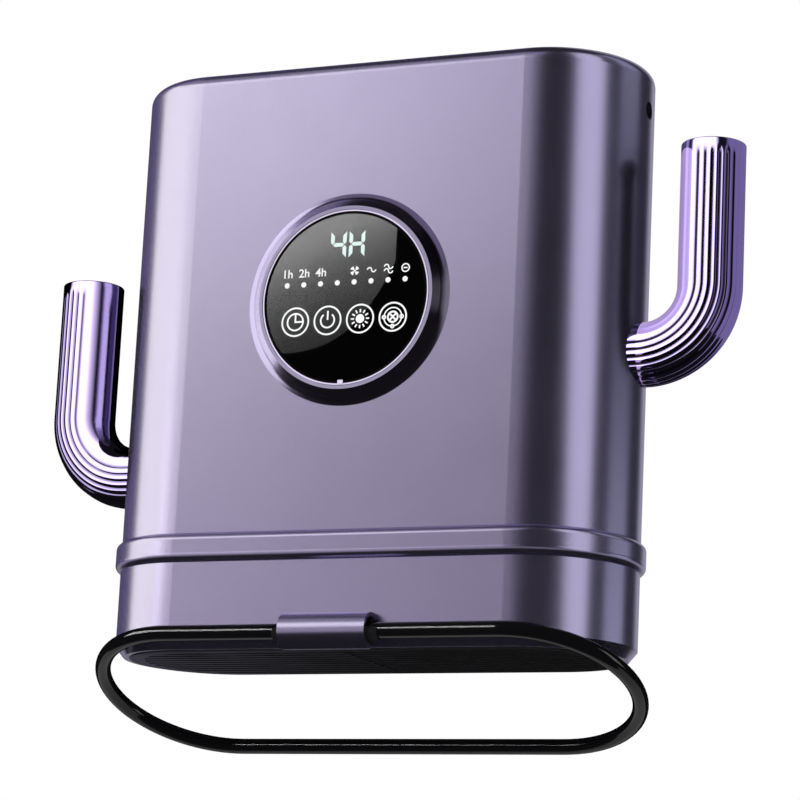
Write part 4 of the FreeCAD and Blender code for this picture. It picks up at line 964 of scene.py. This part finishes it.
def add_wall(name, rows, stops, clear):
    """Round wall through rows of (radius, height), lit by its stops."""
    count = round(360 / WALL_STEP)
    azimuths = [-180 + WALL_STEP * i for i in range(count + 1)]
    columns = [[wall_point(radius, azimuth, height) for radius, height in rows] for azimuth in azimuths]
    tones = [[blend_stops(stops, azimuth)] * len(rows) for azimuth in azimuths]
    return add_card(name, columns, tones, clear)


def ease(value, start, end):
    """0 before start, 1 after end and even in between."""
    return min(max((value - start) / (end - start), 0.0), 1.0)


def add_reflector(name, radius, span, step, rises, tone):
    """Part of a round wall; rises gives the elevations at an azimuth, and tone the light at both."""
    count = round((span[1] - span[0]) / step)
    columns = []
    tones = []
    for i in range(count + 1):
        azimuth = span[0] + (span[1] - span[0]) * i / count
        elevations = rises(azimuth)
        columns.append([wall_point(radius, azimuth, wall_height(radius, rise)) for rise in elevations])
        tones.append([tone(azimuth, rise) for rise in elevations])
    return add_card(name, columns, tones)


def add_even(name, radius, span, rises, level):
    """Reflector of one colour."""
    return add_reflector(name, radius, span, WALL_STEP, lambda azimuth: rises, lambda azimuth, rise: level)


def add_fill(name, radius, span, rises, level):
    """Reflector that fades out to the right."""
    return add_reflector(name, radius, span, WALL_STEP, lambda azimuth: rises,
                         lambda azimuth, rise: mix(level, DARK, ease(azimuth, *span)))


def softbox_rises(azimuth):
    """Elevations up the softbox, whose lower edge slants down to the left."""
    foot = max(SOFTBOX_FOOT - SOFTBOX_SLOPE * (SOFTBOX_SPAN[1] - azimuth), SOFTBOX_LOWEST)
    return [foot + (SOFTBOX_TOP - foot) * row for row in SOFTBOX_ROWS]


def softbox_tone(azimuth, elevation):
    """Even on the left; towards the right, darker below and lighter above."""
    (low, dim), (high, bright) = SOFTBOX_LOW, SOFTBOX_HIGH
    graded = mix(dim, bright, ease(elevation, low, high))
    return mix(SOFTBOX_SIDE, graded, ease(azimuth, *SOFTBOX_FADE))


def end_strip_tone(azimuth, elevation):
    """Upright strip whose left edge leans left as it goes up."""
    left = END_STRIP_LEFT - END_STRIP_LEAN * (min(elevation, END_STRIP_TOP) - END_STRIP_MIDDLE)
    right = END_STRIP_RIGHT
    share = ease(azimuth, left - END_STRIP_BLUR, left + END_STRIP_BLUR)
    share *= 1 - ease(azimuth, right - END_STRIP_BLUR, right + END_STRIP_BLUR)
    return tuple(level * share for level in END_STRIP_LEVEL)


def side_strip_tone(azimuth, elevation):
    level, = blend_stops(SIDE_STRIP_STOPS, elevation)
    return tuple(level * tint for tint in SIDE_STRIP_TINT)


def panel_light_rises(azimuth):
    """Elevations up the light that the glass mirrors, from its rounded lower edge."""
    past = PANEL_LIGHT_SPAN[1] - azimuth
    corner = max(1 - past / PANEL_LIGHT_CORNER, 0.0) ** PANEL_LIGHT_CORNER_POWER
    foot = PANEL_LIGHT_FOOT + PANEL_LIGHT_CORNER_RISE * corner
    return [foot + (PANEL_LIGHT_TOP - foot) * i / PANEL_LIGHT_ROWS for i in range(PANEL_LIGHT_ROWS + 1)]


def panel_light_tone(azimuth, elevation):
    """Brighter upwards and to the left."""
    power = sum(rate * (place - middle) for rate, place, middle
                in zip(PANEL_LIGHT_GROWTH, (azimuth, elevation), PANEL_LIGHT_MIDDLE))
    return (min(PANEL_LIGHT_LEVEL * math.exp(power), PANEL_LIGHT_MOST),) * 3


def add_bezel_light():
    """Tall on the left for the slopes that face it, low and dim in front for the flat lip."""
    span = (BEZEL_LIGHT_STOPS[0][0], BEZEL_LIGHT_STOPS[-1][0])
    return add_reflector("bezel_light", BEZEL_LIGHT_RADIUS, span, WALL_STEP,
                         lambda azimuth: blend_stops(BEZEL_LIGHT_STOPS, azimuth)[:2],
                         lambda azimuth, rise: blend_stops(BEZEL_LIGHT_STOPS, azimuth)[2:] * 3)


def add_arm_side():
    """Upright card just off the casing's dark right end, which the right arm mirrors with it."""
    low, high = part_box("right_arm")
    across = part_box("main_housing")[1].x + ARM_SIDE_GAP * MM
    columns = []
    for depth, level in ARM_SIDE_STOPS:
        columns.append([Vector((across, depth * MM, height)) for height in (low.z, high.z)])
    return add_card("arm_side", columns, [[level] * 2 for depth, level in ARM_SIDE_STOPS])


def add_hoop_floor(height):
    """Pale patch under the object that the lower side of the wire mirrors."""
    sides = (-HOOP_FLOOR_REACH, HOOP_FLOOR_REACH)
    columns = [[Vector((x, y, height)) for y in HOOP_FLOOR_DEPTH] for x in sides]
    return add_card("hoop_floor", columns, [[HOOP_FLOOR_LEVEL] * 2] * 2)


def add_grille_light():
    """Upright card behind on the left, which fades out to the right."""
    columns = [[Vector((x, GRILLE_LIGHT_BEHIND, z)) for z in GRILLE_LIGHT_RISE] for x in GRILLE_LIGHT_SPAN]
    return add_card("grille_light", columns, [[GRILLE_LIGHT_LEVEL] * 2, [DARK] * 2])


def add_sheet(name, height, material):
    """Level square sheet."""
    half = FLOOR_SIZE / 2
    corners = [(-half, -half, height), (half, -half, height), (half, half, height), (-half, half, height)]
    data = bpy.data.meshes.new(name)
    data.from_pydata(corners, [], [(0, 1, 2, 3)])
    data.materials.append(material)
    sheet = bpy.data.objects.new(name, data)
    bpy.context.scene.collection.objects.link(sheet)
    return sheet


def add_arm_lights(arms, height):
    """Wall and floor ring for each arm by itself, and the card beside the right one."""
    top = wall_height(ARM_WALL, WALL_HIGH)
    arm_rows = ((ARM_FLOOR_RING, height), (ARM_WALL, height), (ARM_WALL, top))
    for arm, stops, gap in zip(arms, (LEFT_ARM_STOPS, RIGHT_ARM_STOPS), (0.0, FLAG_LIFT)):
        rows = [(radius + gap, row_height + gap) for radius, row_height in arm_rows]
        light_for(add_wall(arm.name + "_wall", rows, stops, True), [arm])
    light_for(add_arm_side(), arms[1:])


def add_casing_lights(ring_height):
    """What the painted pieces mirror: softbox, fills and upright strips."""
    ring_rows = ((FLOOR_RING_REACH, ring_height), (CASING_WALL, ring_height))
    side_rises = [rise for rise, level in SIDE_STRIP_STOPS]
    lights = (
        add_wall("floor_ring", ring_rows, FLOOR_RING_STOPS, True),
        add_reflector("softbox", SOFTBOX_RADIUS, SOFTBOX_SPAN, WALL_STEP, softbox_rises, softbox_tone),
        add_fill("low_fill", LOW_FILL_RADIUS, LOW_FILL_SPAN, LOW_FILL_RISE, LOW_FILL_LEVEL),
        add_fill("high_fill", HIGH_FILL_RADIUS, HIGH_FILL_SPAN, HIGH_FILL_RISE, HIGH_FILL_LEVEL),
        add_even("upper_fill", UPPER_FILL_RADIUS, UPPER_FILL_SPAN, UPPER_FILL_RISE, UPPER_FILL_LEVEL),
        add_reflector("end_strip", CARD_RADIUS, END_STRIP_SPAN, WALL_STEP, lambda azimuth: END_STRIP_RISES,
                      end_strip_tone),
        add_reflector("side_strip", CARD_RADIUS, SIDE_STRIP_SPAN, WALL_STEP, lambda azimuth: side_rises,
                      side_strip_tone),
    )
    for light in lights:
        light_for(light, [nodes[name] for name in ("main_housing", "base_skirt", "hoop_clip")])


def add_panel_lights():
    """What the glass, the bezel and the trim ring mirror."""
    light_for(add_reflector("panel_light", CARD_RADIUS, PANEL_LIGHT_SPAN, PANEL_LIGHT_STEP, panel_light_rises,
                            panel_light_tone), [nodes["panel_glass"]])
    bezel_fill = add_even("bezel_fill", BEZEL_FILL_RADIUS, BEZEL_FILL_SPAN, BEZEL_FILL_RISE,
                          BEZEL_FILL_LEVEL)
    for light in (add_bezel_light(), bezel_fill):
        light_for(light, [nodes["panel_bezel"]])
    light_for(add_even("trim_light", TRIM_LIGHT_RADIUS, TRIM_LIGHT_SPAN, TRIM_LIGHT_RISE, TRIM_LIGHT_LEVEL),
              [nodes["trim_ring"]])


def add_hoop_lights(floor_height):
    """What the wire mirrors: a strip in front, one off the right end and a patch below."""
    lights = (
        add_even("hoop_strip", HOOP_LIGHT_RADIUS, HOOP_STRIP_SPAN, HOOP_STRIP_RISE, HOOP_STRIP_LEVEL),
        add_even("hoop_side", HOOP_LIGHT_RADIUS, HOOP_SIDE_SPAN, HOOP_SIDE_RISE, HOOP_SIDE_LEVEL),
        add_hoop_floor(floor_height),
    )
    for light in lights:
        light_for(light, [nodes["bag_hoop"]])


def add_surroundings(arms):
    """Pale floor, dark flags below and above, and the reflectors that each piece sees round it."""
    pale = finish("pale_floor", (0.86, 0.86, 0.87), (0.6, 0.7), flake=0.01, flake_scale=60.0)
    add_sheet("floor", FLOOR_HEIGHT, pale)
    ground = FLOOR_HEIGHT + FLAG_LIFT
    raised = ground + FLAG_LIFT
    ceiling = wall_height(CASING_WALL, WALL_HIGH)
    for name, height in (("floor_flag", ground), ("ceiling_flag", ceiling)):
        reflection_only(add_sheet(name, height, emitter(name, FLAG_LEVEL)))
    add_arm_lights(arms, raised)
    wall = add_wall("casing_wall", ((CASING_WALL, ground), (CASING_WALL, ceiling)), CASING_STOPS, False)
    apart = [nodes[name] for name in ("panel_glass", "panel_bezel", "trim_ring", "bag_hoop")]
    light_for(wall, arms + apart, "EXCLUDE")
    add_casing_lights(raised + FLOOR_RING_LIFT)
    add_panel_lights()
    add_hoop_lights(raised + HOOP_FLOOR_LIFT)
    light_for(add_grille_light(), [nodes["outlet_grille"]])


def add_key():
    """Soft lamp from the upper left for the matt pieces; it stays out of reflections. LAMP_POWER is the watts
    that a lamp of one square metre takes for a radiance of one."""
    data = bpy.data.lights.new("key", "AREA")
    data.size = KEY_SIZE
    data.energy = LAMP_POWER * KEY_SIZE ** 2 * KEY_RADIANCE
    key = bpy.data.objects.new("key", data)
    toward = heading(KEY_AZIMUTH, KEY_ELEVATION)
    key.location = STUDIO_MIDDLE + toward * KEY_DISTANCE
    key.rotation_euler = (-toward).to_track_quat("-Z", "Y").to_euler()
    key.visible_camera = False
    key.visible_glossy = False
    bpy.context.scene.collection.objects.link(key)


def set_world():
    """White to the camera, to reflections and through glass; softer as light on the object."""
    world = bpy.data.worlds.new("studio")
    bpy.context.scene.world = world
    world.use_nodes = True
    tree = world.node_tree
    background = tree.nodes["Background"]
    background.inputs["Color"].default_value = (1.0, 1.0, 1.0, 1.0)
    path = tree.nodes.new("ShaderNodeLightPath")
    seen = path.outputs["Is Camera Ray"]
    for output in ("Is Glossy Ray", "Is Transmission Ray"):
        either = tree.nodes.new("ShaderNodeMath")
        either.operation = "MAXIMUM"
        tree.links.new(seen, either.inputs[0])
        tree.links.new(path.outputs[output], either.inputs[1])
        seen = either.outputs["Value"]
    level = tree.nodes.new("ShaderNodeMapRange")
    level.inputs["To Min"].default_value = WORLD_DIFFUSE
    level.inputs["To Max"].default_value = 1.0
    tree.links.new(seen, level.inputs["Value"])
    tree.links.new(level.outputs["Result"], background.inputs["Strength"])


finishes = slot_materials()
dress_nodes(finishes)
add_panel_graphics()
add_surroundings(add_arms(finishes["plated"]))
add_key()
set_world()
add_camera()
bpy.context.scene.view_settings.view_transform = "Standard"
